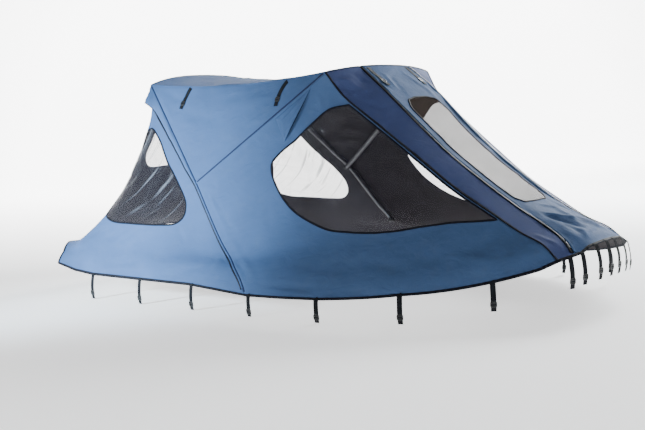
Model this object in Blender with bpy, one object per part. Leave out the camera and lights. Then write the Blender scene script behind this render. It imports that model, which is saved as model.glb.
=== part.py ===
"""Canopy for an open hull: cloth panels and clear windows on two hoops.

Metres. +X is forward, +Z up, and the part is symmetric about the plane y = 0.
The origin lies on the centre line under the roof, near the height of the hoops' feet.
The hem runs round a line, SIDE_LINE, whose cloth is drawn down over a round of ROUND_RADIUS.

Every panel is a surface in two parameters, (down, across), each from 0 to 1 or -1 to 1.
A panel is meshed once, and the trim that is sewn on it reuses its triangles, lifted a little.
"""
import math

import bmesh
import bpy
import numpy as np
from mathutils import Matrix, Vector
from mathutils.geometry import delaunay_2d_cdt

# Thicknesses and widths
CLOTH = 0.0015
FILM = 0.0010
WEBBING = 0.0016
PIPING = 0.0030
GAP = 0.0004
EDGE_INSET = 0.0003
HEM_BAND = 0.014
PIPING_HALF = 0.005
SEAM_BAND = 0.006
FRONT_ZIP_BAND = 0.010
AFT_ZIP_HALF = 0.004
STRAP_HALF = 0.0125
BUCKLE_HALF = 0.0150
BUCKLE_THICK = 0.0060
HOOP_RADIUS = 0.0125
HOOP_GAP = 0.0008
CORNER_RELIEF = 0.012
FOOT_RADIUS = 0.026
FOOT_THICK = 0.008
PIVOT_RADIUS = 0.016
PIVOT_LENGTH = 0.026

# The main hoop bends in towards its feet: how far, over what share of the leg, how far ahead
FOOT_SINK = 0.024
FOOT_REACH = 0.14
FOOT_AHEAD = 0.012
# Share of the fore leg that turns in to its pivot, and of each crown's end that is rounded
LEG_TURN = 0.25
CORNER_SHARE = 0.55

# Folds: bluntness of their ends, and where their flanks are, in widths
FOLD_BLUNT = 0.8
FLANK = 1.3
# Least distance of a mesh point from a fold's points, and of the zips' lines from the hem
POINT_CLEAR = 0.012
HEM_CLEAR = 0.004

# The side line: the line that runs round the widest part of the canopy's foot
HALF_BEAM = 0.87
ROUND_RADIUS = 0.22
SIDE_DROP = 0.010
BEND_START = 0.238
BOW = 1.564
BEND_POWERS = (1.733, 2.305)
SHEER_START = 0.594
SHEER_RISE = 0.152
SHEER_POWER = 2.6

# Height of the hem on the round: distance along the side line, degrees up from level
HEM_ANGLE = (
    (-1.484, 32.0), (-1.300, 23.0), (-1.125, 19.0), (-0.316, 17.0), (0.091, 10.0),
    (0.539, 12.0), (0.919, 17.0), (1.547, 16.0), (1.644, 19.0), (1.776, 20.0),
    (1.830, 24.5), (1.950, 26.0), (1.996, 26.0),
)
# Where the hem leaves the side line and turns across the stern, same columns
STERN_TURN = ((-1.484, 32.0), (-1.500, 53.0), (-1.597, 85.0))
LEG_FOOT, SEAM_FOOT, ZIP_FOOT, CORNER = 0.091, 1.644, 1.726, -1.484

# Hoops: tops of the legs and the pivot, starboard side, and the rise of each crown
MAIN_TOP = (-0.991, -0.454, 1.099)
FORE_TOP = (0.297, -0.428, 1.077)
PIVOT = (-0.462, -0.638, 0.555)
MAIN_RISE = 0.0784
FORE_RISE = 0.0525
ARCH_POWER = 2.4
PIVOT_AT = 0.5
EDGE_SAG = 0.034
ROOF_SAG = 0.050

# Lines on the starboard side, each from top to bottom: x, y, z
LEG_LOW = (
    (-0.195, -0.718, 0.235), (-0.126, -0.746, 0.188),
    (-0.035, -0.806, 0.146), (0.034, -0.841, 0.100),
)
SEAM = (
    (0.385, -0.400, 0.952), (0.480, -0.382, 0.871), (0.576, -0.366, 0.794), (0.756, -0.345, 0.652),
    (0.989, -0.324, 0.475), (1.142, -0.315, 0.381), (1.275, -0.314, 0.302), (1.395, -0.320, 0.247),
)
FRONT_ZIP_TOP = 0.20
FRONT_ZIP = (
    (0.515, -0.212, 0.951), (0.679, -0.202, 0.793), (0.864, -0.193, 0.630), (1.034, -0.186, 0.504),
    (1.198, -0.180, 0.392), (1.333, -0.187, 0.316), (1.423, -0.213, 0.264),
)
QUARTER = (
    (-0.960, -0.490, 0.935), (-0.977, -0.515, 0.850), (-1.002, -0.540, 0.748), (-1.047, -0.576, 0.632),
    (-1.106, -0.617, 0.512), (-1.186, -0.658, 0.413), (-1.316, -0.699, 0.299), (-1.440, -0.726, 0.226),
    (-1.560, -0.720, 0.205),
)
REAR_MIDDLE = (
    (-1.018, 0.0, 0.960), (-1.038, 0.0, 0.800), (-1.080, 0.0, 0.640), (-1.150, 0.0, 0.500),
    (-1.250, 0.0, 0.390), (-1.390, 0.0, 0.300), (-1.560, 0.0, 0.235),
)
STERN_HEM = ((-1.600, -0.560, 0.205), (-1.585, -0.300, 0.222))

# Rear panel: where its quarter line, its corner and the end of its turn lie, from leg to middle
QUARTER_AT, CORNER_AT, TURN_AT = 0.67, 0.62, 0.72
QUARTER_TIGHT, MIDDLE_EASE = 0.55, 0.90

# Windows, as points of their panels: down, across (rear: across runs from the leg to the middle)
REAR_WINDOW = (
    (0.231, 0.345), (0.281, 0.255), (0.399, 0.185), (0.504, 0.133), (0.580, 0.115), (0.635, 0.140),
    (0.673, 0.190), (0.683, 0.260), (0.686, 0.400), (0.677, 0.553), (0.655, 0.620), (0.600, 0.655),
    (0.474, 0.680), (0.380, 0.680), (0.292, 0.655), (0.240, 0.600), (0.215, 0.480),
)
SIDE_WINDOW = (
    (0.135, 0.975), (0.114, 0.909), (0.119, 0.781), (0.136, 0.648), (0.150, 0.530), (0.174, 0.464),
    (0.204, 0.439), (0.272, 0.417), (0.366, 0.409), (0.444, 0.420), (0.522, 0.453), (0.586, 0.494),
    (0.630, 0.565), (0.661, 0.637), (0.677, 0.704), (0.692, 0.799), (0.719, 0.883), (0.746, 0.946),
    (0.769, 0.975),
)
SIDE_WINDOW_MARGIN = 0.016
FRONT_WINDOW = (
    (0.183, 0.00), (0.187, 0.35), (0.205, 0.58), (0.250, 0.70), (0.340, 0.68), (0.450, 0.68),
    (0.600, 0.71), (0.690, 0.71), (0.715, 0.62), (0.728, 0.30), (0.730, 0.00),
)

# Vent flap on the lower side: down, across; it hangs open along the line from the last to the first
VENT = ((0.014, 0.872), (0.014, 0.620), (0.114, 0.596))
VENT_LIFT = 0.016

# Aft zip on the rear panel: down, distance behind the hoop's line
AFT_ZIP = ((0.030, 0.046), (0.120, 0.040), (0.410, 0.026), (0.500, 0.014), (0.750, 0.013), (1.000, 0.013))

# Straps on the upper side and the windscreen: down, across at the sewn end, the same at the free end
ROOF_STRAPS = (("aft", 0.022, 0.252, 0.290, 0.123), ("mid", 0.150, 0.800, 0.830, 0.660))
FRONT_STRAP = (0.012, 0.80, 0.118, 0.74)
# Hem straps: distance along the side line of each
HEM_STRAPS = (-1.116, -0.707, -0.298, 0.111, 0.520, 0.929, 1.338, 1.700, 1.770, 1.870, 1.960)
HEM_STRAP_END = -15.0
BOW_STRAP_GAP = 0.0014
# Sections of a hem strap: share of its length, half width, height of the outer face
HEM_STRAP_SECTIONS = (
    (0.00, STRAP_HALF, 0.0004), (0.60, STRAP_HALF, 0.0004), (0.63, BUCKLE_HALF, BUCKLE_THICK),
    (0.86, BUCKLE_HALF, BUCKLE_THICK), (0.89, STRAP_HALF, 0.0004), (1.00, STRAP_HALF, 0.0004),
)

# Folds of each panel: down, across at both ends, half width, height (below zero for a trough)
REAR_FOLDS = (
    (0.740, 0.420, 0.790, 0.520, 0.016, -0.005), (0.715, 0.560, 0.850, 0.640, 0.020, -0.006),
    (0.900, 0.110, 0.965, 0.240, 0.022, -0.007), (0.840, 0.030, 0.950, 0.100, 0.020, 0.005),
    (0.760, 0.900, 0.880, 0.930, 0.030, -0.006),
)
UPPER_FOLDS = ((0.050, 0.040, 0.200, 0.170, 0.018, -0.005), (0.330, 0.100, 0.600, 0.330, 0.030, -0.004))
LOWER_FOLDS = (
    (0.120, 0.045, 0.500, 0.045, 0.016, 0.005), (0.480, 0.050, 0.880, 0.070, 0.016, 0.005),
    (0.930, 0.130, 0.935, 0.300, 0.020, -0.006),
)
CHEEK_FOLDS = ((0.035, 0.250, 0.120, 0.550, 0.014, 0.006), (0.030, 0.620, 0.095, 0.780, 0.012, -0.006))
SCREEN_FOLDS = (
    (0.050, -0.420, 0.150, -0.640, 0.010, 0.005), (0.040, 0.380, 0.160, 0.600, 0.010, 0.005),
    (0.800, -0.600, 0.930, -0.150, 0.018, -0.008), (0.830, 0.100, 0.950, 0.450, 0.020, 0.008),
    (0.780, 0.250, 0.900, -0.120, 0.016, 0.006),
)
ROOF_FOLDS = ((0.060, -0.300, 0.300, -0.550, 0.030, -0.004), (0.700, 0.250, 0.940, 0.500, 0.030, -0.004))

# Share of a panel over which its folds fade out towards its edges
FOLD_MARGIN = 0.03

# Mesh size of the panels and number of steps along each shared line
STEP = 0.115
STEPS = {
    "leg_upper": 8, "leg_lower": 8, "main_crown": 12, "fore_leg": 10,
    "edge": 12, "seam": 18, "zip": 18,
}
FORE_CROWN_SIDE_STEPS, FORE_CROWN_MIDDLE_STEPS = 3, 6
REAR_HEM_STEPS = {"side": 18, "turn": 4, "stern": 7}
LOWER_HEM_STEPS = 20

MIRROR = np.array([1.0, -1.0, 1.0])

# Materials: colour, roughness, metallic
MATERIALS = {
    "cloth": ((0.27, 0.42, 0.62), 0.70, 0.0),
    "cloth_dark": ((0.12, 0.19, 0.33), 0.65, 0.0),
    "film": ((0.62, 0.66, 0.68), 0.12, 0.0),
    "trim": ((0.015, 0.018, 0.028), 0.60, 0.0),
    "hoop": ((0.42, 0.43, 0.45), 0.35, 0.8),
}


# Curves

def along(rows, at):
    """Smooth curve through the rows; `at` runs from 0 to 1 with the distance between them."""
    p = np.asarray(rows, float)
    knots = np.concatenate([[0.0], np.cumsum(np.linalg.norm(np.diff(p, axis=0), axis=1))])
    knots /= knots[-1]
    slope = np.gradient(p, knots, axis=0)
    at = np.clip(np.asarray(at, float), 0.0, 1.0)
    i = np.clip(np.searchsorted(knots, at, side="right") - 1, 0, len(knots) - 2)
    width = (knots[i + 1] - knots[i])[..., None]
    s = ((at - knots[i]) / (knots[i + 1] - knots[i]))[..., None]
    return ((1 + 2 * s) * (1 - s) ** 2 * p[i] + s * (1 - s) ** 2 * width * slope[i]
            + s * s * (3 - 2 * s) * p[i + 1] + s * s * (s - 1) * width * slope[i + 1])


def make_side_line():
    """The side line from the stern to the bow: distance along it, points, level outward directions."""
    straight = np.linspace(-2.2, BEND_START, 300)
    a = np.linspace(0.0, math.pi / 2, 1200)[1:]
    x = np.concatenate([straight, BEND_START + (BOW - BEND_START) * np.sin(a) ** (2 / BEND_POWERS[0])])
    y = np.concatenate([np.full(300, -HALF_BEAM), -HALF_BEAM * np.cos(a) ** (2 / BEND_POWERS[1])])
    sheer = np.clip((x - SHEER_START) / (BOW - SHEER_START), 0.0, None) ** SHEER_POWER
    p = np.stack([x, y, SHEER_RISE * sheer - SIDE_DROP], axis=1)
    distance = np.concatenate([[0.0], np.cumsum(np.linalg.norm(np.diff(p, axis=0), axis=1))])
    distance -= np.interp(0.0, x[:300], distance[:300])
    t = np.gradient(p, axis=0) * np.array([1.0, 1.0, 0.0])
    t /= np.linalg.norm(t, axis=1)[:, None]
    return distance, p, np.stack([t[:, 1], -t[:, 0], 0 * t[:, 0]], axis=1)


SIDE_LINE = make_side_line()
NOSE = SIDE_LINE[0][-1]


def round_middle(distance):
    """Centre of the round and its level outward direction at a distance along the side line."""
    point = np.stack([np.interp(distance, SIDE_LINE[0], SIDE_LINE[1][:, k]) for k in range(3)], axis=-1)
    out = np.stack([np.interp(distance, SIDE_LINE[0], SIDE_LINE[2][:, k]) for k in range(3)], axis=-1)
    return point - ROUND_RADIUS * out, out


def on_round(distance, degrees, lift=0.0):
    """Point on the round, a distance along the side line and some degrees up from level."""
    middle, out = round_middle(np.asarray(distance, float))
    a = np.radians(np.asarray(degrees, float))[..., None]
    return middle + (ROUND_RADIUS + lift) * (np.cos(a) * out + np.sin(a) * np.array([0.0, 0.0, 1.0]))


def hem_angle(distance):
    """Degrees up from level at which the hem lies."""
    table = np.array(HEM_ANGLE)
    return np.interp(distance, table[:, 0], table[:, 1])


def hem(distance):
    """Point of the hem."""
    return on_round(distance, hem_angle(distance))


def crown(top, rise, y):
    """Point of a hoop's crown; it rises in the direction of the leg under `top`."""
    lean = np.array([top[0] - PIVOT[0], 0.0, top[2] - PIVOT[2]])
    lean /= np.linalg.norm(lean)
    y = np.asarray(y, float)
    k = rise * (1 - (np.abs(y) / abs(top[1])) ** ARCH_POWER)
    return np.stack([top[0] + lean[0] * k, y, top[2] + lean[2] * k], axis=-1)


def leg(at):
    """Ridge over the main hoop's leg: 0 at its top, PIVOT_AT at the pivot, 1 at the hem."""
    u = np.asarray(at, float)
    straight = np.array(MAIN_TOP) + (np.array(PIVOT) - np.array(MAIN_TOP)) * (u / PIVOT_AT)[..., None]
    rows = np.vstack([PIVOT, LEG_LOW, hem(LEG_FOOT)])
    low = along(rows, (u - PIVOT_AT) / (1 - PIVOT_AT))
    return np.where((u < PIVOT_AT)[..., None], straight, low)


def fore_leg(at):
    """Ridge over the fore hoop's leg, from the pivot to its top."""
    return np.array(PIVOT) + (np.array(FORE_TOP) - np.array(PIVOT)) * np.asarray(at, float)[..., None]


def roof_edge(at):
    """Edge between the roof and the upper side, from the main hoop to the fore hoop."""
    t = np.asarray(at, float)[..., None]
    sag = np.array([0.0, 0.0, EDGE_SAG]) * 4 * t * (1 - t)
    return np.array(MAIN_TOP) + (np.array(FORE_TOP) - np.array(MAIN_TOP)) * t - sag


def seam(at):
    """Seam between the lower side and the bow cheek, from the fore hoop to the hem."""
    return along(np.vstack([FORE_TOP, SEAM, hem(SEAM_FOOT)]), at)


def front_zip(at):
    """Zip between the bow cheek and the windscreen, from the fore hoop to the hem."""
    return along(np.vstack([crown(FORE_TOP, FORE_RISE, -FRONT_ZIP_TOP), FRONT_ZIP, hem(ZIP_FOOT)]), at)


# Panels as surfaces of (down, across)

def coons(u, v, start, end, left, right):
    """Surface between four curves; start and end run with u, left and right with v."""
    u, v = np.broadcast_arrays(np.asarray(u, float), np.asarray(v, float))
    zero, one = np.zeros_like(u), np.ones_like(u)
    a, b = u[..., None], v[..., None]
    corners = ((1 - a) * (1 - b) * start(zero) + a * (1 - b) * start(one)
               + (1 - a) * b * end(zero) + a * b * end(one))
    return (1 - b) * start(u) + b * end(u) + (1 - a) * left(v) + a * right(v) - corners


def hermite(s, p0, p1, m0, m1):
    """Cubic from p0 to p1 with the slopes m0 and m1."""
    return ((1 + 2 * s) * (1 - s) ** 2 * p0 + s * (1 - s) ** 2 * m0
            + s * s * (3 - 2 * s) * p1 + s * s * (s - 1) * m1)


def rear_hem(v):
    """Hem of the rear panel, from the leg round the corner to the middle of the stern."""
    side = hem(LEG_FOOT + (CORNER - LEG_FOOT) * np.clip(v / CORNER_AT, 0.0, 1.0))
    k = np.clip((v - CORNER_AT) / (TURN_AT - CORNER_AT), 0.0, 1.0)
    turn = np.array(STERN_TURN)
    at = (0.0, 0.4, 1.0)
    turned = on_round(np.interp(k, at, turn[:, 0]), np.interp(k, at, turn[:, 1]))
    points = np.vstack([on_round(*STERN_TURN[-1]), STERN_HEM, REAR_MIDDLE[-1]])
    stern = along(points, (v - TURN_AT) / (1 - TURN_AT))
    return np.where((v < CORNER_AT)[..., None], side, np.where((v < TURN_AT)[..., None], turned, stern))


def rear_loft(u, v):
    """Rear panel before its upper and lower edges are drawn to the crown and the hem."""
    ridge = leg(u)
    quarter = along(np.vstack([MAIN_TOP, QUARTER]), u)
    middle = along(np.vstack([crown(MAIN_TOP, MAIN_RISE, 0.0), REAR_MIDDLE]), u)
    turn = np.array([-0.7, 0.7, 0.0])
    s = np.clip(v / QUARTER_AT, 0.0, 1.0)[..., None]
    reach = np.linalg.norm(quarter - ridge, axis=-1)[..., None]
    side = hermite(s, ridge, quarter, quarter - ridge, reach * QUARTER_TIGHT * turn)
    s = np.clip((v - QUARTER_AT) / (1 - QUARTER_AT), 0.0, 1.0)[..., None]
    reach = np.linalg.norm(middle - quarter, axis=-1)[..., None]
    ease = reach * MIDDLE_EASE * np.array([0.0, 1.0, 0.0])
    back = hermite(s, quarter, middle, reach * QUARTER_TIGHT * turn, ease)
    return np.where((v < QUARTER_AT)[..., None], side, back)


def rear(down, across):
    """Rear panel: across from the starboard leg at -1 over the middle at 0 to port at 1."""
    u, w = np.broadcast_arrays(np.asarray(down, float), np.asarray(across, float))
    v = 1 - np.abs(w)
    p = rear_loft(u, v)
    y = MAIN_TOP[1] * (1 - np.clip((v - QUARTER_AT) / (1 - QUARTER_AT), 0.0, 1.0))
    p = p + ((1 - u) ** 6)[..., None] * (crown(MAIN_TOP, MAIN_RISE, y) - rear_loft(np.zeros_like(u), v))
    p = p + (u ** 5)[..., None] * (rear_hem(v) - rear_loft(np.ones_like(u), v))
    return p * np.where((w > 0)[..., None], MIRROR, 1.0)


def roof(down, across):
    """Roof: down from the main crown to the fore crown, across from -1 to 1."""
    u, v = np.broadcast_arrays(np.asarray(down, float), np.asarray(across, float))
    p = ((1 - u)[..., None] * crown(MAIN_TOP, MAIN_RISE, -MAIN_TOP[1] * v)
         + u[..., None] * crown(FORE_TOP, FORE_RISE, -FORE_TOP[1] * v))
    sag = EDGE_SAG + (ROOF_SAG - EDGE_SAG) * (1 - v ** 2)
    return p - (sag * 4 * u * (1 - u))[..., None] * np.array([0.0, 0.0, 1.0])


def upper_side(down, across):
    """Upper side: down from the roof edge to the fore leg, across from the main leg forward."""
    v, u = np.broadcast_arrays(np.asarray(down, float), np.asarray(across, float))
    p = (1 - v)[..., None] * roof_edge(u) + v[..., None] * fore_leg(u)
    straight = (1 - v)[..., None] * np.array(MAIN_TOP) + v[..., None] * np.array(PIVOT)
    return p + (1 - u)[..., None] * (leg(PIVOT_AT * v) - straight)


def lower_side(down, across):
    """Lower side: down from the fore leg to the hem, across from the main leg to the seam."""
    return coons(across, down, fore_leg, lambda t: hem(LEG_FOOT + (SEAM_FOOT - LEG_FOOT) * t),
                 lambda t: leg(PIVOT_AT + (1 - PIVOT_AT) * t), seam)


def cheek(down, across):
    """Bow cheek: down from the fore crown to the hem, across from the seam to the zip."""
    top = FORE_TOP[1]
    return coons(across, down, lambda t: crown(FORE_TOP, FORE_RISE, top + (-FRONT_ZIP_TOP - top) * t),
                 lambda t: hem(SEAM_FOOT + (ZIP_FOOT - SEAM_FOOT) * t), seam, front_zip)


def windscreen(down, across):
    """Windscreen: down from the fore crown to the hem, across from zip to zip."""
    v, u = np.broadcast_arrays(np.asarray(down, float), np.asarray(across, float))
    a = ((1 - u) / 2)[..., None]

    def between(line):
        return line * a + line * MIRROR * (1 - a)

    flat = between(front_zip(v))
    top = crown(FORE_TOP, FORE_RISE, FRONT_ZIP_TOP * u) - between(front_zip(np.zeros_like(v)))
    low = hem(NOSE + (ZIP_FOOT - NOSE) * np.abs(u)) * np.where((u > 0)[..., None], MIRROR, 1.0)
    low = low - between(front_zip(np.ones_like(v)))
    return flat + (1 - v)[..., None] ** 3 * top + v[..., None] ** 5 * low


# Work on surfaces

def frame_at(surface, ab):
    """Slopes of the surface down and across, and its normal."""
    h = 1e-4
    ab = np.clip(ab, (0.0, -1.0), 1.0)
    lo = np.clip(ab - h, (0.0, -1.0), 1.0)
    hi = np.clip(ab + h, (0.0, -1.0), 1.0)
    a, b = ab[:, 0], ab[:, 1]
    slope_a = (surface(hi[:, 0], b) - surface(lo[:, 0], b)) / (hi - lo)[:, :1]
    slope_b = (surface(a, hi[:, 1]) - surface(a, lo[:, 1])) / (hi - lo)[:, 1:]
    n = np.cross(slope_a, slope_b)
    return slope_a, slope_b, n / np.maximum(np.linalg.norm(n, axis=1), 1e-12)[:, None]


def shifted(surface, ab, direction, distance):
    """Points of the surface a distance away from `ab` in the given directions in space."""
    sa, sb, _ = frame_at(surface, ab)
    aa, bb, cc = (sa * sa).sum(1), (sb * sb).sum(1), (sa * sb).sum(1)
    ra, rb = (sa * direction).sum(1), (sb * direction).sum(1)
    det = aa * bb - cc * cc
    step = np.stack([(ra * bb - rb * cc) / det, (rb * aa - ra * cc) / det], axis=1)
    return ab + step * np.asarray(distance, float).reshape(-1, 1)


def evenly(surface, ab, count):
    """`count` steps of equal length along a dense line of the surface."""
    p = surface(ab[:, 0], ab[:, 1])
    reach = np.concatenate([[0.0], np.cumsum(np.linalg.norm(np.diff(p, axis=0), axis=1))])
    at = np.linspace(0.0, reach[-1], count + 1)
    return np.stack([np.interp(at, reach, ab[:, k]) for k in range(2)], axis=1)


def ring_offset(surface, ring, distance):
    """A closed line moved outwards (inwards below zero) on the surface."""
    p = surface(ring[:, 0], ring[:, 1])
    before = p - np.roll(p, 1, axis=0)
    after = np.roll(p, -1, axis=0) - p
    before /= np.linalg.norm(before, axis=1)[:, None]
    after /= np.linalg.norm(after, axis=1)[:, None]
    t = before + after
    size = np.linalg.norm(t, axis=1)
    side = np.cross(t / size[:, None], frame_at(surface, ring)[2])
    away = np.where(((p - p.mean(0)) * side).sum(1).sum() > 0, 1.0, -1.0)
    return shifted(surface, ring, side * away, distance * np.minimum(2 / size, 1.6))


def folded(surface, folds, across=(-1.0, 1.0), both_sides=False):
    """The surface with soft ridges and troughs along the lines of a fold table, none at its edges."""
    def shaped(down, across):
        a, b = np.broadcast_arrays(np.asarray(down, float), np.asarray(across, float))
        p = surface(a, b)
        flat = p.reshape(-1, 3)
        height = np.zeros(len(flat))
        for row in folds:
            sides = (1.0, -1.0) if both_sides else (1.0,)
            for side in sides:
                ends = surface(np.array([row[0], row[2]]), side * np.array([row[1], row[3]]))
                span = ends[1] - ends[0]
                t = np.clip((flat - ends[0]) @ span / (span @ span), 0.0, 1.0)
                off = np.linalg.norm(flat - ends[0] - t[:, None] * span, axis=1)
                height += row[5] * np.sin(math.pi * t) ** FOLD_BLUNT * np.exp(-(off / row[4]) ** 2)
        inner = np.minimum(np.minimum(a, 1 - a), np.minimum(b - across[0], across[1] - b)).ravel()
        height *= np.clip(inner / FOLD_MARGIN, 0.0, 1.0) ** 2
        normal = frame_at(surface, np.stack([a.ravel(), b.ravel()], axis=1))[2]
        out = np.sign((normal * (flat - np.array([-0.1, 0.0, 0.3]))).sum(1))
        return (flat + normal * (height * out)[:, None]).reshape(p.shape)
    return shaped


def fold_points(surface, folds, both_sides=False):
    """Mesh points on the crest and on both flanks of each fold."""
    found = []
    for row in folds:
        for side in (1.0, -1.0) if both_sides else (1.0,):
            start, end = np.array(row[0:2]), np.array(row[2:4])
            t = np.linspace(0.12, 0.88, 4)[:, None]
            line = (start + (end - start) * t) * np.array([1.0, side])
            p = surface(line[:, 0], line[:, 1])
            n = frame_at(surface, line)[2]
            flank = np.cross(n, np.gradient(p, axis=0))
            flank /= np.linalg.norm(flank, axis=1)[:, None]
            found.append(line)
            found += [shifted(surface, line, flank, far * row[4]) for far in (FLANK, -FLANK)]
    return np.vstack(found)


def inside(points, ring):
    """True for each flat point that lies inside the closed ring."""
    x, y = points[:, :1], points[:, 1:]
    x0, y0 = ring[:, 0], ring[:, 1]
    x1, y1 = np.roll(x0, -1), np.roll(y0, -1)
    cross = (y0 > y) != (y1 > y)
    rise = np.where(y1 == y0, 1.0, y1 - y0)
    hit = x < x0 + (y - y0) * (x1 - x0) / rise
    return (cross & hit).sum(axis=1) % 2 == 1


def distance_to(points, starts, ends):
    """Distance of each flat point to the nearest of the segments."""
    span = ends - starts
    size = np.maximum((span ** 2).sum(1), 1e-12)
    rel = points[:, None] - starts[None]
    t = np.clip((rel * span).sum(2) / size, 0.0, 1.0)
    return np.linalg.norm(rel - t[..., None] * span, axis=2).min(axis=1)


def plan(first, second):
    """Flat picture of a panel: two of its coordinates."""
    def flat(surface, ab):
        return surface(ab[:, 0], ab[:, 1])[:, (first, second)]
    return flat


def unrolled(middle, height):
    """Flat picture of a panel: girth from its middle line against the way down."""
    def flat(surface, ab):
        s = np.linspace(0.0, 1.0, 33)
        b = middle + (ab[:, 1:] - middle) * s
        p = surface(np.repeat(ab[:, :1], 33, axis=1), b)
        girth = np.linalg.norm(np.diff(p, axis=1), axis=2).sum(1)
        return np.stack([girth * np.sign(ab[:, 1] - middle), -height * ab[:, 0]], axis=1)
    return flat


def spread(surface, across, step):
    """Points all over a panel, about `step` apart."""
    a = np.linspace(0.0, 1.0, 61)
    middle = surface(a, np.full(61, 0.5 * (across[0] + across[1])))
    rows = max(2, round(np.linalg.norm(np.diff(middle, axis=0), axis=1).sum() / step))
    found = []
    for k in range(1, rows):
        b = np.linspace(across[0], across[1], 121)
        line = np.stack([np.full(121, k / rows), b], axis=1)
        p = surface(line[:, 0], line[:, 1])
        count = round(np.linalg.norm(np.diff(p, axis=0), axis=1).sum() / step)
        if count > 1:
            found.append(evenly(surface, line, count)[1:-1])
    return np.vstack(found)


# Sheets: panels as triangles

def reached(tris, seed, rim):
    """Triangles that are connected with the seed without crossing the rim's edges."""
    owners = {}
    for number, tri in enumerate(tris.tolist()):
        for a, b in ((tri[0], tri[1]), (tri[1], tri[2]), (tri[2], tri[0])):
            owners.setdefault(frozenset((a, b)), []).append(number)
    found, queue = {seed}, [seed]
    while queue:
        tri = tris[queue.pop()].tolist()
        for a, b in ((tri[0], tri[1]), (tri[1], tri[2]), (tri[2], tri[0])):
            edge = frozenset((a, b))
            if edge in rim:
                continue
            for other in owners[edge]:
                if other not in found:
                    found.add(other)
                    queue.append(other)
    return np.array(sorted(found))


class Sheet:
    """A panel's mesh: points as (down, across), lines that it follows, and named zones of it."""

    def __init__(self, surface, flat, border):
        self.surface, self.flat = surface, flat
        self.rings = {"border": border}
        self.lines = [(border, True)]
        self.loose = []

    def zone(self, name, ring):
        """A closed line of the mesh whose inside has a name."""
        self.rings[name] = ring
        self.lines.append((ring, True))

    def build(self, across, step, extra=None):
        """Triangulate the panel between its lines."""
        points, links = [], []
        for line, closed in self.lines:
            start = sum(map(len, points))
            index = list(range(start, start + len(line)))
            links += list(zip(index, index[1:] + index[:1])) if closed else list(zip(index, index[1:]))
            points.append(line)
        fixed = np.vstack(points)
        flat = self.flat(self.surface, fixed)
        link = np.array(links)
        for cloud, clear in ((extra, POINT_CLEAR), (spread(self.surface, across, step), 0.5 * step)):
            if cloud is None:
                continue
            cloud = cloud[(np.abs(cloud - 0.5 * np.array([1.0, 0.0])) < (0.5, 1.0)).all(1)]
            place = self.flat(self.surface, cloud)
            near = distance_to(place, flat[link[:, 0]], flat[link[:, 1]])
            for other in self.loose:
                spot = self.flat(self.surface, other)
                near = np.minimum(near, distance_to(place, spot, spot + 1e-6) * 1.6)
            cloud = cloud[(near > clear) & inside(place, self.flat(self.surface, self.rings["border"]))]
            if len(cloud):
                self.loose.append(cloud)
        ab = np.vstack([fixed] + self.loose)
        place = self.flat(self.surface, ab)
        found = delaunay_2d_cdt([Vector(p) for p in place], links, [], 0, 1e-6)
        source = [old[0] if old else -1 for old in found[3]]
        if min(source) < 0:
            where = [tuple(round(c, 3) for c in found[0][k]) for k, old in enumerate(source) if old < 0]
            raise ValueError(f"lines of a panel cross at {where[:6]}")
        tris = np.array([[source[k] for k in face] for face in found[2]])
        edges = place[tris[:, 1:]] - place[tris[:, :1]]
        size = np.abs(np.cross(edges[:, 0], edges[:, 1]))
        within = inside(place[tris].mean(axis=1), self.flat(self.surface, self.rings["border"]))
        rim = {frozenset(edge) for edge in links[:len(self.rings["border"])]}
        self.tris = tris[reached(tris, int(np.argmax(size * within)), rim)]
        self.points = self.surface(ab[:, 0], ab[:, 1])
        self.place = place
        middle = place[self.tris].mean(axis=1)
        flat = {name: self.flat(self.surface, ring) for name, ring in self.rings.items()}
        self.zones = {name: inside(middle, ring) for name, ring in flat.items()}
        n = vertex_normals(self.points, self.tris)
        used = np.unique(self.tris)
        if ((self.points - np.array([-0.1, 0.0, 0.3]))[used] * n[used]).sum() < 0:
            self.tris = self.tris[:, ::-1]
            n = -n
        self.normals = n
        return self

    def mirrored(self):
        """The same panel on the port side."""
        twin = Sheet.__new__(Sheet)
        twin.points, twin.tris = self.points * MIRROR, self.tris[:, ::-1]
        twin.normals, twin.zones = self.normals * MIRROR, self.zones
        return twin


def vertex_normals(points, tris):
    """Normals of the corner points, each triangle counting by its area."""
    p = points[tris]
    n = np.cross(p[:, 1] - p[:, 0], p[:, 2] - p[:, 0])
    total = np.zeros_like(points)
    for k in range(3):
        np.add.at(total, tris[:, k], n)
    return total / np.maximum(np.linalg.norm(total, axis=1), 1e-12)[:, None]


def key(point):
    """Name of a place, shared by the panels that meet there."""
    return tuple(int(round(c * 20000)) for c in point)


def share_normals(sheets):
    """Give every point the mean direction of the panels that meet in it."""
    table = {}
    for sheet in sheets:
        for k in np.unique(sheet.tris):
            table.setdefault(key(sheet.points[k]), []).append(sheet.normals[k])
    shared = {}
    for place, normals in table.items():
        mean = np.mean(normals, axis=0)
        mean /= np.linalg.norm(mean)
        shared[place] = (mean, max(0.5, min(float(mean @ n) for n in normals)))
    for sheet in sheets:
        sheet.lean = np.zeros_like(sheet.points)
        for k in np.unique(sheet.tris):
            mean, cosine = shared[key(sheet.points[k])]
            sheet.lean[k] = mean / cosine
    return shared


def patch(parts):
    """Weld chosen triangles of some sheets: points, leaning directions, triangles."""
    index, points, lean, tris = {}, [], [], []
    for sheet, chosen in parts:
        for tri in sheet.tris[chosen]:
            corner = []
            for k in tri:
                place = key(sheet.points[k])
                if place not in index:
                    index[place] = len(points)
                    points.append(sheet.points[k])
                    lean.append(sheet.lean[k])
                corner.append(index[place])
            tris.append(corner)
    return np.array(points), np.array(lean), np.array(tris)


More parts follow.
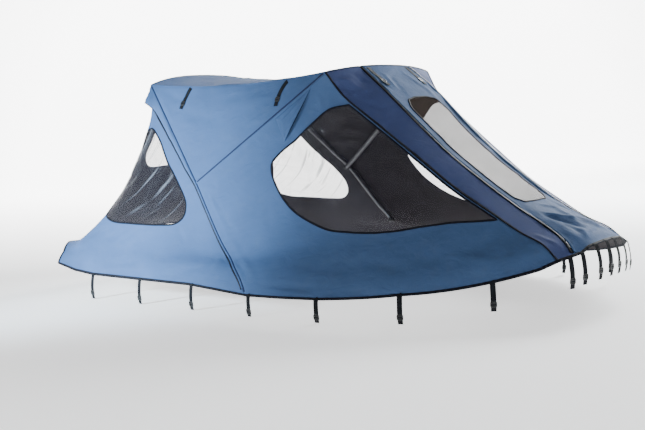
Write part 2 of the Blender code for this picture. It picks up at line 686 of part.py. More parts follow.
def shell(points, lean, tris, low, high):
    """Closed solid between two offsets of a triangle sheet, its rim drawn in a little."""
    edges = {(a, b) for t in tris for a, b in ((t[0], t[1]), (t[1], t[2]), (t[2], t[0]))}
    rim = [(a, b) for a, b in edges if (b, a) not in edges]
    face_of = {}
    for t in tris:
        n = np.cross(points[t[1]] - points[t[0]], points[t[2]] - points[t[0]])
        for a, b in ((t[0], t[1]), (t[1], t[2]), (t[2], t[0])):
            face_of[(a, b)] = n / np.linalg.norm(n)
    inward = {}
    for a, b in rim:
        d = np.cross(face_of[(a, b)], points[b] - points[a])
        d /= np.linalg.norm(d)
        inward.setdefault(a, []).append(d)
        inward.setdefault(b, []).append(d)
    base = points.copy()
    for k, sides in inward.items():
        total = np.sum(sides, axis=0)
        base[k] += EDGE_INSET * total * min(3.0, len(sides) / max(float(total @ total), 1e-9) * 1.0)
    low = np.broadcast_to(np.asarray(low, float), len(points))[:, None]
    high = np.broadcast_to(np.asarray(high, float), len(points))[:, None]
    count = len(points)
    verts = np.vstack([base + lean * high, base + lean * low])
    faces = [tuple(t) for t in tris] + [tuple(k + count for k in t[::-1]) for t in tris]
    for a, b in rim:
        faces += [(b, a, a + count), (b, a + count, b + count)]
    return verts, faces


# Blender objects

def material(name):
    """The material with this name, made once."""
    found = bpy.data.materials.get(name)
    if found:
        return found
    colour, roughness, metallic = MATERIALS[name]
    found = bpy.data.materials.new(name)
    found.use_nodes = True
    shader = found.node_tree.nodes["Principled BSDF"]
    shader.inputs["Base Color"].default_value = (*colour, 1.0)
    shader.inputs["Roughness"].default_value = roughness
    shader.inputs["Metallic"].default_value = metallic
    return found


def add_object(name, verts, faces, kind):
    """A mesh object of the scene."""
    mesh = bpy.data.meshes.new(name)
    mesh.from_pydata([tuple(v) for v in verts], [], faces)
    mesh.validate()
    mesh.materials.append(material(kind))
    thing = bpy.data.objects.new(name, mesh)
    bpy.context.scene.collection.objects.link(thing)
    return thing


def add_shell(name, parts, low, high, kind):
    """A solid over the chosen triangles of some sheets."""
    points, lean, tris = patch(parts)
    verts, faces = shell(points, lean, tris, low, high)
    return add_object(name, verts, faces, kind)


def tube(path, radius, sides=8):
    """Closed round bar along a line of points."""
    path = np.asarray(path, float)
    forward = np.gradient(path, axis=0)
    forward /= np.linalg.norm(forward, axis=1)[:, None]
    side = np.cross(forward[0], (1.0, 0.0, 0.3))
    verts, faces = [], []
    for k, point in enumerate(path):
        side = side - forward[k] * (side @ forward[k])
        side /= np.linalg.norm(side)
        other = np.cross(forward[k], side)
        bend = 1.0
        if 0 < k < len(path) - 1:
            one = path[k] - path[k - 1]
            two = path[k + 1] - path[k]
            cosine = one @ two / np.linalg.norm(one) / np.linalg.norm(two)
            bend = 1 / max(0.8, math.cos(0.5 * math.acos(min(1.0, cosine))))
        for j in range(sides):
            a = 2 * math.pi * j / sides
            verts.append(point + radius * bend ** 0.5 * (math.cos(a) * side + math.sin(a) * other))
    for k in range(len(path) - 1):
        for j in range(sides):
            a, b = k * sides + j, k * sides + (j + 1) % sides
            faces.append((a, b, b + sides, a + sides))
    faces.append(tuple(range(sides))[::-1])
    faces.append(tuple(range(len(verts) - sides, len(verts))))
    return np.array(verts), faces


def join_disc(thing, name, centre, direction, radius, length):
    """Fuse a short round disc to an object; it starts at `centre` and runs along `direction`."""
    mesh = bpy.data.meshes.new(name)
    work = bmesh.new()
    bmesh.ops.create_cone(work, cap_ends=True, segments=16, radius1=radius, radius2=radius, depth=length)
    turn = Vector(direction).to_track_quat("Z", "Y").to_matrix().to_4x4()
    middle = Vector(centre) + Vector(direction) * (0.5 * length)
    bmesh.ops.transform(work, matrix=Matrix.Translation(middle) @ turn, verts=work.verts)
    work.to_mesh(mesh)
    work.free()
    disc = bpy.data.objects.new(name, mesh)
    disc.hide_render = True
    disc.display_type = "WIRE"
    bpy.context.scene.collection.objects.link(disc)
    union = thing.modifiers.new(name, "BOOLEAN")
    union.operation = "UNION"
    union.solver = "EXACT"
    union.object = disc


# Shared lines, as parameters; the last step but one lies on the upper edge of the hem band

def with_band(curve, start, steps):
    """Steps along a line that ends on the hem, with one at the hem band's upper edge."""
    ends = curve(np.array([0.999, 1.0]))
    band = 1.0 - HEM_BAND * 0.001 / np.linalg.norm(ends[1] - ends[0])
    return np.concatenate([np.linspace(start, 1.0, steps + 1)[:-1], [band, 1.0]])


LEG_UPPER = np.linspace(0.0, PIVOT_AT, STEPS["leg_upper"] + 1)
LEG_LOWER = with_band(leg, PIVOT_AT, STEPS["leg_lower"])
SEAM_AT = with_band(seam, 0.0, STEPS["seam"])
ZIP_AT = with_band(front_zip, 0.0, STEPS["zip"])
FORE_LEG = np.linspace(0.0, 1.0, STEPS["fore_leg"] + 1)
EDGE = np.linspace(0.0, 1.0, STEPS["edge"] + 1)
MAIN_CROWN = np.linspace(-1.0, 1.0, STEPS["main_crown"] + 1)


def fore_crown_steps():
    """Places of the fore crown from -1 to 1; the zips meet it on two of them."""
    share = FRONT_ZIP_TOP / abs(FORE_TOP[1])
    side = np.linspace(-1.0, -share, FORE_CROWN_SIDE_STEPS + 1)
    middle = np.linspace(-share, share, FORE_CROWN_MIDDLE_STEPS + 1)
    return np.concatenate([side, middle[1:], -side[::-1][1:]])


def column(down, across):
    """Points from two lists or a list and a number."""
    down, across = np.broadcast_arrays(np.asarray(down, float), np.asarray(across, float))
    return np.stack([down, across], axis=1)


def ring_of(*lines):
    """Closed line from lines that meet end to end."""
    return np.vstack([line[:-1] for line in lines])


def hem_row(surface, across):
    """Points of a panel one hem band above its hem."""
    ab = column(1.0, across)
    slope = frame_at(surface, ab)[0]
    return shifted(surface, ab, -slope / np.linalg.norm(slope, axis=1)[:, None], HEM_BAND)


def border_row(surface, ab, distance):
    """Points a distance from a line of a panel, towards lower `across`."""
    p = surface(ab[:, 0], ab[:, 1])
    n = frame_at(surface, ab)[2]
    side = np.cross(np.gradient(p, axis=0), n)
    side /= np.linalg.norm(side, axis=1)[:, None]
    moved = shifted(surface, ab, side, 0.001)
    sign = -1.0 if (moved - ab)[:, 1].mean() > 0 else 1.0
    return shifted(surface, ab, side * sign, distance)


def meet(row, line):
    """Cut a line off at a row of the hem band and return the shared point and the shortened line."""
    row = row[np.argsort(row[:, 1])]
    keep = line[line[:, 0] < np.interp(line[:, 1], row[:, 1], row[:, 0]) - HEM_CLEAR]
    across = keep[-1, 1] + (line[-1, 1] - keep[-1, 1]) * 0.5
    down = np.interp(across, row[:, 1], row[:, 0])
    point = np.array([down, across])
    return point, np.vstack([keep, point])


def insert_in(row, points):
    """A row with further points put in, ordered across."""
    full = np.vstack([row] + [p[None] for p in points])
    return full[np.argsort(full[:, 1])]


# The panels' meshes

def make_rear():
    """Rear panel with its hem band, aft zips and windows."""
    folds = [(r[0], 1 - r[1], r[2], 1 - r[3], r[4], r[5]) for r in REAR_FOLDS]
    surface = folded(rear, folds, both_sides=True)
    side = np.linspace(0.0, CORNER_AT, REAR_HEM_STEPS["side"] + 1)
    turn = np.linspace(CORNER_AT, TURN_AT, REAR_HEM_STEPS["turn"] + 1)[1:]
    stern = np.linspace(TURN_AT, 1.0, REAR_HEM_STEPS["stern"] + 1)[1:]
    half = np.concatenate([side, turn, stern]) - 1.0
    hem_at = np.concatenate([half, -half[::-1][1:]])
    leg_at = np.concatenate([LEG_UPPER, LEG_LOWER[1:]])
    crown_at = MAIN_CROWN * (1 - QUARTER_AT)
    crown_at[[0, -1]] = (-1.0, 1.0)
    border = ring_of(
        column(leg_at, -1.0), column(1.0, hem_at),
        column(leg_at[::-1], 1.0), column(0.0, crown_at[::-1]),
    )
    sheet = Sheet(surface, unrolled(0.0, 1.25), border)
    row = hem_row(surface, hem_at)
    row[[0, -1]] = ((LEG_LOWER[-2], -1.0), (LEG_LOWER[-2], 1.0))
    table = np.array(AFT_ZIP)
    upper = leg_at[(leg_at > 0.02) & (leg_at < LEG_LOWER[-2] - 0.01)]
    line = column(upper, -1.0)
    slope = frame_at(surface, line)[1]
    away = slope / np.linalg.norm(slope, axis=1)[:, None]
    behind = np.interp(upper, table[:, 0], table[:, 1])
    cuts = []
    for offset in (-AFT_ZIP_HALF, AFT_ZIP_HALF):
        zip_row = shifted(surface, line, away, behind + offset)
        slope = (zip_row[-1] - zip_row[-2]) / max(1e-6, zip_row[-1, 0] - zip_row[-2, 0])
        end = zip_row[-1] + slope * (1 - zip_row[-1, 0])
        cuts.append(meet(row, np.vstack([zip_row, end])))
    marks = [cut[0] for cut in cuts]
    row = insert_in(row, marks + [m * (1.0, -1.0) for m in marks])
    sheet.zone("hem", np.vstack([row, column(1.0, hem_at[::-1])]))
    (_, inner), (_, outer) = cuts
    flap_line = column(upper, -1.0)
    corner = np.array([[LEG_LOWER[-2], -1.0]])
    for name, flip in (("starboard", 1.0), ("port", -1.0)):
        turnover = np.array([1.0, flip])
        sheet.zone(f"aft_flap_{name}", np.vstack([flap_line, corner, inner[::-1]]) * turnover)
        sheet.zone(f"aft_zip_{name}", np.vstack([inner, outer[::-1]]) * turnover)
        ring = np.array(REAR_WINDOW) * (1.0, 1.0) - (0.0, 1.0)
        add_window(sheet, f"rear_window_{name}", closed_line(surface, ring, 24) * turnover)
    extra = fold_points(rear, folds, both_sides=True)
    return sheet.build((-1.0, 1.0), STEP, extra)


def closed_line(surface, rows, count):
    """Smooth closed line through the rows, cut into even steps."""
    rows = np.asarray(rows, float)
    wrapped = np.vstack([rows[-3:], rows, rows[:4]])
    span = np.concatenate([[0.0], np.cumsum(np.linalg.norm(np.diff(wrapped, axis=0), axis=1))])
    span /= span[-1]
    dense = along(wrapped, np.linspace(span[3], span[-4], 400))
    return evenly(surface, dense, count)[:-1]


def add_window(sheet, name, ring):
    """Window outline with the inner and outer edge of the piping round it."""
    sheet.zone(name, ring)
    sheet.zone(f"{name}_inner", ring_offset(sheet.surface, ring, -PIPING_HALF))
    sheet.zone(f"{name}_outer", ring_offset(sheet.surface, ring, PIPING_HALF))


def make_roof():
    """Roof panel."""
    surface = folded(roof, ROOF_FOLDS)
    border = ring_of(column(EDGE, -1.0), column(1.0, fore_crown_steps()), column(EDGE[::-1], 1.0),
                     column(0.0, MAIN_CROWN[::-1]))
    sheet = Sheet(surface, plan(0, 1), border)
    return sheet.build((-1.0, 1.0), 1.3 * STEP, fold_points(roof, ROOF_FOLDS))


def strap_ring(surface, row):
    """Outline of a strap lying on a panel: down, across at its two ends."""
    start, end = np.array(row[0:2]), np.array(row[2:4])
    t = np.array([0.0, 0.35, 0.66, 0.80, 1.0])[:, None]
    line = start + (end - start) * t
    p = surface(line[:, 0], line[:, 1])
    n = frame_at(surface, line)[2]
    side = np.cross(n, np.gradient(p, axis=0))
    side /= np.linalg.norm(side, axis=1)[:, None]
    width = np.where(t[:, 0] > 0.7, BUCKLE_HALF, STRAP_HALF)
    left, right = shifted(surface, line, side, width), shifted(surface, line, side, -width)
    return np.vstack([left, right[::-1]])


def strap_height(sheet, name, points):
    """Height of a strap's outer face over the cloth: thicker at its buckle end."""
    ring = sheet.surface(sheet.rings[name][:, 0], sheet.rings[name][:, 1])
    start, end = 0.5 * (ring[0] + ring[-1]), 0.5 * (ring[4] + ring[5])
    t = (np.asarray(points) - start) @ (end - start) / ((end - start) @ (end - start))
    return np.interp(t, (0.66, 0.78), (GAP + WEBBING, GAP + BUCKLE_THICK))


def make_upper():
    """Upper side panel, starboard."""
    surface = folded(upper_side, UPPER_FOLDS, (0.0, 1.0))
    down = LEG_UPPER / PIVOT_AT
    border = ring_of(column(down, 0.0), column(1.0, FORE_LEG), column(0.0, EDGE[::-1]))
    sheet = Sheet(surface, plan(0, 2), border)
    for name, *row in ROOF_STRAPS:
        sheet.zone(f"strap_{name}", strap_ring(surface, row))
    return sheet.build((0.0, 1.0), 1.2 * STEP, fold_points(upper_side, UPPER_FOLDS))


def make_lower():
    """Lower side panel, starboard, with the side window and the vent."""
    surface = folded(lower_side, LOWER_FOLDS, (0.0, 1.0))
    hem_at = np.linspace(0.0, 1.0, LOWER_HEM_STEPS + 1)
    down = (LEG_LOWER - PIVOT_AT) / (1 - PIVOT_AT)
    border = ring_of(
        column(down, 0.0), column(1.0, hem_at),
        column(SEAM_AT[::-1], 1.0), column(0.0, FORE_LEG[::-1]),
    )
    sheet = Sheet(surface, plan(0, 2), border)
    row = hem_row(surface, hem_at)
    row[[0, -1]] = ((down[-2], 0.0), (SEAM_AT[-2], 1.0))
    seam_line = column(SEAM_AT[1:], 1.0)
    mark, piping = meet(row, border_row(surface, seam_line, SEAM_BAND))
    row = insert_in(row, [mark])
    sheet.zone("hem", np.vstack([row, column(1.0, hem_at[::-1])]))
    sheet.zone("seam", np.vstack([column(SEAM_AT[1:-1], 1.0), piping[::-1]]))
    edge = border_row(surface, column(np.linspace(0.02, 0.98, 97), 1.0), SIDE_WINDOW_MARGIN)
    start, end = SIDE_WINDOW[0][0], SIDE_WINDOW[-1][0]
    straight = edge[(edge[:, 0] > start) & (edge[:, 0] < end)]
    rows = np.vstack([straight[0], SIDE_WINDOW[1:-1], straight[-1]])
    left = evenly(surface, along(rows, np.linspace(0.0, 1.0, 300)), 22)
    right = evenly(surface, straight[::-1], 10)
    add_window(sheet, "side_window", ring_of(left, right))
    start, end = np.array(VENT[-1]), np.array(VENT[0])
    t = np.linspace(0.0, 1.0, 7)[:, None]
    opening = start + (end - start) * t
    hinge = np.array(VENT)
    upper_edge = hinge[0] + (hinge[1] - hinge[0]) * np.linspace(0.0, 1.0, 5)[:, None]
    sheet.zone("vent", ring_of(upper_edge, hinge[1:], opening))
    return sheet.build((0.0, 1.0), STEP, fold_points(lower_side, LOWER_FOLDS))


def vent_lift(sheet, points):
    """Height of the vent flap over the cloth: none along its hinge, most at its open edge."""
    corner = sheet.surface(np.array(VENT)[:, 0], np.array(VENT)[:, 1])

    def off(a, b):
        t = np.clip((points - a) @ (b - a) / ((b - a) @ (b - a)), 0.0, 1.0)
        return t, np.linalg.norm(points - a - t[:, None] * (b - a), axis=1)

    at, to_opening = off(corner[2], corner[0])
    to_hinge = np.minimum(off(corner[0], corner[1])[1], off(corner[1], corner[2])[1])
    return GAP + VENT_LIFT * np.sin(math.pi * at) * to_hinge / np.maximum(to_hinge + to_opening, 1e-6)


def make_cheek():
    """Bow cheek, starboard."""
    surface = folded(cheek, CHEEK_FOLDS, (0.0, 1.0))
    crown_at = fore_crown_steps()[:FORE_CROWN_SIDE_STEPS + 1]
    across = (crown_at - crown_at[0]) / (crown_at[-1] - crown_at[0])
    hem_at = np.array([0.0, 0.5, 1.0])
    border = ring_of(
        column(SEAM_AT, 0.0), column(1.0, hem_at),
        column(ZIP_AT[::-1], 1.0), column(0.0, across[::-1]),
    )
    sheet = Sheet(surface, unrolled(0.5, 1.55), border)
    row = hem_row(surface, hem_at)
    row[[0, -1]] = ((SEAM_AT[-2], 0.0), (ZIP_AT[-2], 1.0))
    seam_mark, piping = meet(row, border_row(surface, column(SEAM_AT[1:], 0.0), -SEAM_BAND))
    zip_mark, zip_row = meet(row, border_row(surface, column(ZIP_AT[1:], 1.0), FRONT_ZIP_BAND))
    row = insert_in(row, [seam_mark, zip_mark])
    sheet.zone("hem", np.vstack([row, column(1.0, hem_at[::-1])]))
    sheet.zone("seam", np.vstack([column(SEAM_AT[1:-1], 0.0), piping[::-1]]))
    sheet.zone("zip", np.vstack([column(ZIP_AT[1:-1], 1.0), zip_row[::-1]]))
    return sheet.build((0.0, 1.0), 0.8 * STEP, fold_points(cheek, CHEEK_FOLDS))


def make_screen():
    """Windscreen panel with its window and straps."""
    surface = folded(windscreen, SCREEN_FOLDS)
    share = fore_crown_steps()[FORE_CROWN_SIDE_STEPS:-FORE_CROWN_SIDE_STEPS]
    crown_at = share / share[-1]
    hem_at = np.linspace(-1.0, 1.0, 11)
    border = ring_of(
        column(ZIP_AT, -1.0), column(1.0, hem_at),
        column(ZIP_AT[::-1], 1.0), column(0.0, crown_at[::-1]),
    )
    sheet = Sheet(surface, unrolled(0.0, 1.55), border)
    row = hem_row(surface, hem_at)
    row[[0, -1]] = ((ZIP_AT[-2], -1.0), (ZIP_AT[-2], 1.0))
    starboard = meet(row, border_row(surface, column(ZIP_AT[1:], -1.0), -FRONT_ZIP_BAND))
    port = meet(row, border_row(surface, column(ZIP_AT[1:], 1.0), FRONT_ZIP_BAND))
    row = insert_in(row, [starboard[0], port[0]])
    sheet.zone("hem", np.vstack([row, column(1.0, hem_at[::-1])]))
    sheet.zone("zip_starboard", np.vstack([column(ZIP_AT[1:-1], -1.0), starboard[1][::-1]]))
    sheet.zone("zip_port", np.vstack([column(ZIP_AT[1:-1], 1.0), port[1][::-1]]))
    half = np.array(FRONT_WINDOW)
    rows = np.vstack([half * (1.0, -1.0), half[::-1][1:-1]])
    add_window(sheet, "windscreen_window", closed_line(surface, rows, 30))
    for name, flip in (("starboard", -1.0), ("port", 1.0)):
        a0, b0, a1, b1 = FRONT_STRAP
        sheet.zone(f"strap_{name}", strap_ring(surface, (a0, b0 * flip, a1, b1 * flip)))
    return sheet.build((-1.0, 1.0), 0.8 * STEP, fold_points(windscreen, SCREEN_FOLDS))


# Hoops

def ridge(points, shared, extra):
    """Centre line of a hoop under a ridge: as deep as its tube needs, and `extra` deeper."""
    found = []
    for point, more in zip(points, extra):
        mean, cosine = shared[key(point)]
        found.append(point - mean * ((HOOP_RADIUS + CLOTH + HOOP_GAP) / cosine + more))
    return np.array(found)


def rounded_corner(path, k, share):
    """Replace the k-th point of a path by a short curve."""
    before, corner, after = path[k - 1], path[k], path[k + 1]
    a, b = corner + (before - corner) * share, corner + (after - corner) * share
    t = np.linspace(0.0, 1.0, 5)[:, None]
    curve = (1 - t) ** 2 * a + 2 * t * (1 - t) * corner + t ** 2 * b
    return np.vstack([path[:k], curve, path[k + 1:]])


def corner_relief(count):
    """How much deeper than its ridge a crown's tube lies at each step: only near its two corners."""
    extra = np.zeros(count)
    extra[[0, -1]] = CORNER_RELIEF
    extra[[1, -2]] = 0.3 * CORNER_RELIEF
    return extra


def make_hoops(shared):
    """Both hoops with the feet and the pivot fittings on their ends."""
    whole = np.vstack([PIVOT, LEG_LOW, hem(LEG_FOOT)])
    reach = np.linalg.norm(np.diff(whole, axis=0), axis=1)
    foot_at = PIVOT_AT + (1 - PIVOT_AT) * reach[0] / reach.sum()
    at = np.concatenate([LEG_UPPER, LEG_LOWER[1:]])
    at = at[at < foot_at + 0.01]
    sink = FOOT_SINK * np.clip((at - foot_at + FOOT_REACH) / FOOT_REACH, 0.0, 1.0) ** 2
    sink[:2] += (CORNER_RELIEF, 0.4 * CORNER_RELIEF)
    down = ridge(leg(at), shared, sink)
    crown_y = crown(MAIN_TOP, MAIN_RISE, -MAIN_TOP[1] * MAIN_CROWN)
    top = ridge(crown_y[1:-1], shared, corner_relief(len(crown_y) - 2))
    last = down[-1]
    middle = np.array([last[0], -(HALF_BEAM - ROUND_RADIUS), -SIDE_DROP])
    out = (last - middle) * (0.0, 1.0, 1.0)
    out /= np.linalg.norm(out)
    foot = middle + out * ROUND_RADIUS + np.array([FOOT_AHEAD, 0.0, 0.0])
    down = np.vstack([down, foot + out * 0.5 * FOOT_THICK])
    path = np.vstack([down[::-1], top, down * MIRROR])
    count = len(down)
    path = rounded_corner(path, len(path) - count, CORNER_SHARE)
    path = rounded_corner(path, count - 1, CORNER_SHARE)
    main = add_object("main_hoop", *tube(path, HOOP_RADIUS), "hoop")
    for name, flip in (("starboard", np.ones(3)), ("port", MIRROR)):
        join_disc(main, f"foot_{name}", foot * flip, out * flip, FOOT_RADIUS, FOOT_THICK)
    at = FORE_LEG
    inner, cosine = shared[key(np.array(PIVOT))]
    clear = 2 * HOOP_RADIUS + GAP + LEG_TURN * PIVOT_LENGTH
    sink = clear * np.clip(1 - at / LEG_TURN, 0.0, 1.0) ** 2
    up = ridge(fore_leg(at), shared, sink)
    crown_y = crown(FORE_TOP, FORE_RISE, -FORE_TOP[1] * fore_crown_steps())
    top = ridge(crown_y[1:-1], shared, np.zeros(len(crown_y) - 2))
    path = np.vstack([up, top, up[::-1] * MIRROR])
    count = len(up)
    path = rounded_corner(path, len(path) - count, CORNER_SHARE)
    path = rounded_corner(path, count - 1, CORNER_SHARE)
    fore = add_object("fore_hoop", *tube(path, HOOP_RADIUS), "hoop")
    axis = np.array(PIVOT) - inner * (HOOP_RADIUS + CLOTH + HOOP_GAP) / cosine
    start = axis - inner * (HOOP_RADIUS + 2 * GAP)
    for name, flip in (("starboard", np.ones(3)), ("port", MIRROR)):
        join_disc(fore, f"pivot_{name}", start * flip, -inner * flip, PIVOT_RADIUS, PIVOT_LENGTH)


# Hem straps

def hem_edge(distance):
    """Point on the straight-sided hem that the panels' meshes have."""
    side = LEG_FOOT + (CORNER - LEG_FOOT) * np.linspace(0.0, 1.0, REAR_HEM_STEPS["side"] + 1)
    lower = LEG_FOOT + (SEAM_FOOT - LEG_FOOT) * np.linspace(0.0, 1.0, LOWER_HEM_STEPS + 1)
    bow = SEAM_FOOT + (ZIP_FOOT - SEAM_FOOT) * np.array([0.5, 1.0])
    nose = ZIP_FOOT + (NOSE - ZIP_FOOT) * np.linspace(0.0, 1.0, 6)
    at = np.unique(np.round(np.concatenate([side, lower, bow, nose]), 9))
    p = hem(at)
    return np.stack([np.interp(distance, at, p[:, k]) for k in range(3)], axis=-1)


def make_hem_strap(name, at, flip):
    """One strap from the hem down the round, with its buckle."""
    verts = []
    top = float(hem_angle(at))
    clear = np.interp(at, (1.2, 1.7), (GAP, BOW_STRAP_GAP))
    for share, half, height in HEM_STRAP_SECTIONS:
        degrees = top + (HEM_STRAP_END - top) * share
        for side, lift in ((-half, height), (half, height), (half, -WEBBING), (-half, -WEBBING)):
            if share == 0.0:
                place = hem_edge(at + side)
                middle, _ = round_middle(np.array(at + side))
                out = (place - middle) / np.linalg.norm(place - middle)
                below = on_round(at + side, hem_angle(at + side) - 1.0) - hem(at + side)
                point = place + out * lift + below / np.linalg.norm(below) * clear
            else:
                point = on_round(at + side, degrees, lift)
            verts.append(point * flip)
    faces = [(0, 1, 2, 3)]
    count = len(HEM_STRAP_SECTIONS)
    for k in range(count - 1):
        for j in range(4):
            a, b = 4 * k + j, 4 * k + (j + 1) % 4
            faces += [(a, a + 4, b + 4), (a, b + 4, b)]
    faces.append(tuple(4 * (count - 1) + j for j in (3, 2, 1, 0)))
    if flip[1] < 0:
        faces = [face[::-1] for face in faces]
    add_object(name, verts, faces, "trim")


def outward(thing):
    """Make the faces of a closed mesh point out."""
    work = bmesh.new()
    work.from_mesh(thing.data)
    bmesh.ops.recalc_face_normals(work, faces=work.faces)
    work.to_mesh(thing.data)
    work.free()


def main():
    """Build the canopy."""
    for old in list(bpy.data.objects):
        bpy.data.objects.remove(old, do_unlink=True)
    rear_sheet, roof_sheet, screen_sheet = make_rear(), make_roof(), make_screen()
    upper, lower, bow = make_upper(), make_lower(), make_cheek()
    near = (upper, lower, bow)
    sides = {"starboard": near, "port": tuple(sheet.mirrored() for sheet in near)}
    sheets = [rear_sheet, roof_sheet, screen_sheet, *sides["starboard"], *sides["port"]]
    shared = share_normals(sheets)

    windows = rear_sheet.zones["rear_window_starboard"] | rear_sheet.zones["rear_window_port"]
    add_shell("rear_panel", [(rear_sheet, ~windows)], -CLOTH, 0.0, "cloth")
    add_shell("roof_panel", [(roof_sheet, roof_sheet.zones["border"])], -CLOTH, 0.0, "cloth")
    glass = screen_sheet.zones["windscreen_window"]
    add_shell("windscreen_panel", [(screen_sheet, ~glass)], -CLOTH, 0.0, "cloth_dark")
    add_shell("windscreen_window", [(screen_sheet, glass)], -FILM, 0.0, "film")
    ring = screen_sheet.zones["windscreen_window_outer"] & ~screen_sheet.zones["windscreen_window_inner"]
    add_shell("windscreen_piping", [(screen_sheet, ring)], GAP, GAP + PIPING, "trim")

    binding = [(rear_sheet, rear_sheet.zones["hem"]), (screen_sheet, screen_sheet.zones["hem"])]
    for name, (upper, lower, bow) in sides.items():
        add_shell(f"upper_side_{name}", [(upper, upper.zones["border"])], -CLOTH, 0.0, "cloth")
        add_shell(f"lower_side_{name}", [(lower, ~lower.zones["side_window"])], -CLOTH, 0.0, "cloth")
        add_shell(f"bow_cheek_{name}", [(bow, bow.zones["border"])], -CLOTH, 0.0, "cloth_dark")
        binding += [(lower, lower.zones["hem"]), (bow, bow.zones["hem"])]
        for label, sheet in ((f"rear_window_{name}", rear_sheet), ("side_window", lower)):
            zone = sheet.zones
            title = label if label.endswith(name) else f"{label}_{name}"
            add_shell(title, [(sheet, zone[label])], -FILM, 0.0, "film")
            ring = zone[f"{label}_outer"] & ~zone[f"{label}_inner"]
            add_shell(title.replace("window", "piping"), [(sheet, ring)], GAP, GAP + PIPING, "trim")
        add_shell(f"seam_piping_{name}", [(lower, lower.zones["seam"]), (bow, bow.zones["seam"])],
                  GAP, GAP + PIPING, "trim")
        halves = [
            (bow, bow.zones["zip"]),
            (screen_sheet, screen_sheet.zones[f"zip_{name}"]),
        ]
        add_shell(f"front_zip_{name}", halves, GAP, GAP + CLOTH, "trim")
        zone = rear_sheet.zones[f"aft_flap_{name}"]
        add_shell(f"aft_flap_{name}", [(rear_sheet, zone)], GAP, GAP + CLOTH, "cloth")
        zone = rear_sheet.zones[f"aft_zip_{name}"]
        add_shell(f"aft_zip_{name}", [(rear_sheet, zone)], GAP, GAP + CLOTH, "trim")
        points, lean, tris = patch([(lower, lower.zones["vent"])])
        lift = vent_lift(sides["starboard"][1], points * (MIRROR if name == "port" else 1.0))
        add_object(f"vent_{name}", *shell(points, lean, tris, lift, lift + CLOTH), "cloth")
        for label, *_ in ROOF_STRAPS:
            points, lean, tris = patch([(upper, upper.zones[f"strap_{label}"])])
            seen = points * (MIRROR if name == "port" else 1.0)
            high = strap_height(sides["starboard"][0], f"strap_{label}", seen)
            add_object(f"roof_strap_{label}_{name}", *shell(points, lean, tris, GAP, high), "trim")
        points, lean, tris = patch([(screen_sheet, screen_sheet.zones[f"strap_{name}"])])
        high = strap_height(screen_sheet, f"strap_{name}", points)
        add_object(f"roof_strap_front_{name}", *shell(points, lean, tris, GAP, high), "trim")
        for number, at in enumerate(HEM_STRAPS, start=1):
            flip = MIRROR if name == "port" else np.ones(3)
            make_hem_strap(f"hem_strap_{number:02d}_{name}", at, flip)
    add_shell("hem_binding", binding, GAP, GAP + CLOTH, "trim")
    make_hoops(shared)
    for thing in bpy.data.objects:
        if not thing.hide_render:
            outward(thing)


main()
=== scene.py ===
"""Two-hoop canopy: cloth panels, clear windows, zips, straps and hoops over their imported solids.

Metres. +X is forward, +Y to port, +Z up, and the canopy is symmetric about the plane y = 0.
Each panel is a surface of two parameters, (down, across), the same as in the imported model.
"""
import math

import bmesh
import bpy
import numpy as np
from bpy.props import FloatProperty, FloatVectorProperty, PointerProperty
from bpy.types import Operator, Panel, PropertyGroup
from mathutils import Matrix, Vector


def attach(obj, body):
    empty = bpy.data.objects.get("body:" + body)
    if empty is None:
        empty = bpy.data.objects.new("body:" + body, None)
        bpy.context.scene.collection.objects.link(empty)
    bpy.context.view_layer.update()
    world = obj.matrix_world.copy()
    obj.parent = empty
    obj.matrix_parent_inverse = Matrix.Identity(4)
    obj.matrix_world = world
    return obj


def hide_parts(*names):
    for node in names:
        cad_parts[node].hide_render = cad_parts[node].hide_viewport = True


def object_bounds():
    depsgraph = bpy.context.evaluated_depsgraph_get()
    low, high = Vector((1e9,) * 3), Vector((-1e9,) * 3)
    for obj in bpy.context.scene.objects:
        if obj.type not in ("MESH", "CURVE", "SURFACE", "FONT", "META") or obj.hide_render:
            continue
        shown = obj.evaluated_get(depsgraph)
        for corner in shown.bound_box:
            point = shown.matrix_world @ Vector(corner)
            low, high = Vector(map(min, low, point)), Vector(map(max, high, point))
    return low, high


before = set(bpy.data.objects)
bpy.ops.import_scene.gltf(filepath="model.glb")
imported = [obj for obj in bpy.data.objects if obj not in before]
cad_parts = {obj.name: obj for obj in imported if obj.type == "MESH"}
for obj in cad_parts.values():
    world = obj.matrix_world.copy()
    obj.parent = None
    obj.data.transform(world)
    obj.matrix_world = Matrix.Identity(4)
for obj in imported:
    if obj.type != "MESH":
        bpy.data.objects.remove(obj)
CAD_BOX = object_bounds()

bl_info = {
    "name": "Two-hoop canopy",
    "version": (1, 0, 0),
    "blender": (4, 5, 0),
    "location": "3D View > Sidebar > Canopy",
    "description": "Cloth, windows, zips, straps and hoops of a two-hoop canopy",
    "category": "Object",
}

MIRROR = np.array([1.0, -1.0, 1.0])
# A point inside the canopy, from which every panel faces away
INNER_POINT = np.array([-0.1, 0.0, 0.3])
# Points closer than this are one; faces that meet at more than this angle keep a sharp edge
WELD = 1e-5
SHARP_ANGLE = math.radians(55)

# Half widths of the trim that the panels carry, then sizes of the hoops and their fittings
SEAM_HALF = 0.006
SEAM_HEIGHT = 0.0036
FRONT_ZIP_HALF = 0.010
AFT_ZIP_HALF = 0.004
HOOP_RADIUS = 0.0125
HOOP_GAP = 0.0008
PACKED_CLOTH = 0.0015
HOOP_DEPTH = HOOP_RADIUS + PACKED_CLOTH + HOOP_GAP
CORNER_RELIEF = 0.012
RIDGE_BLEND = 0.004
TUBE_STEPS = 420
FOOT_RADIUS = 0.026
FOOT_THICK = 0.008
FOOT_AHEAD = 0.012
FOOT_SINK = 0.024
FOOT_REACH = 0.14
PIVOT_RADIUS = 0.016
PIVOT_LENGTH = 0.026
PIVOT_CLEAR = 0.0004

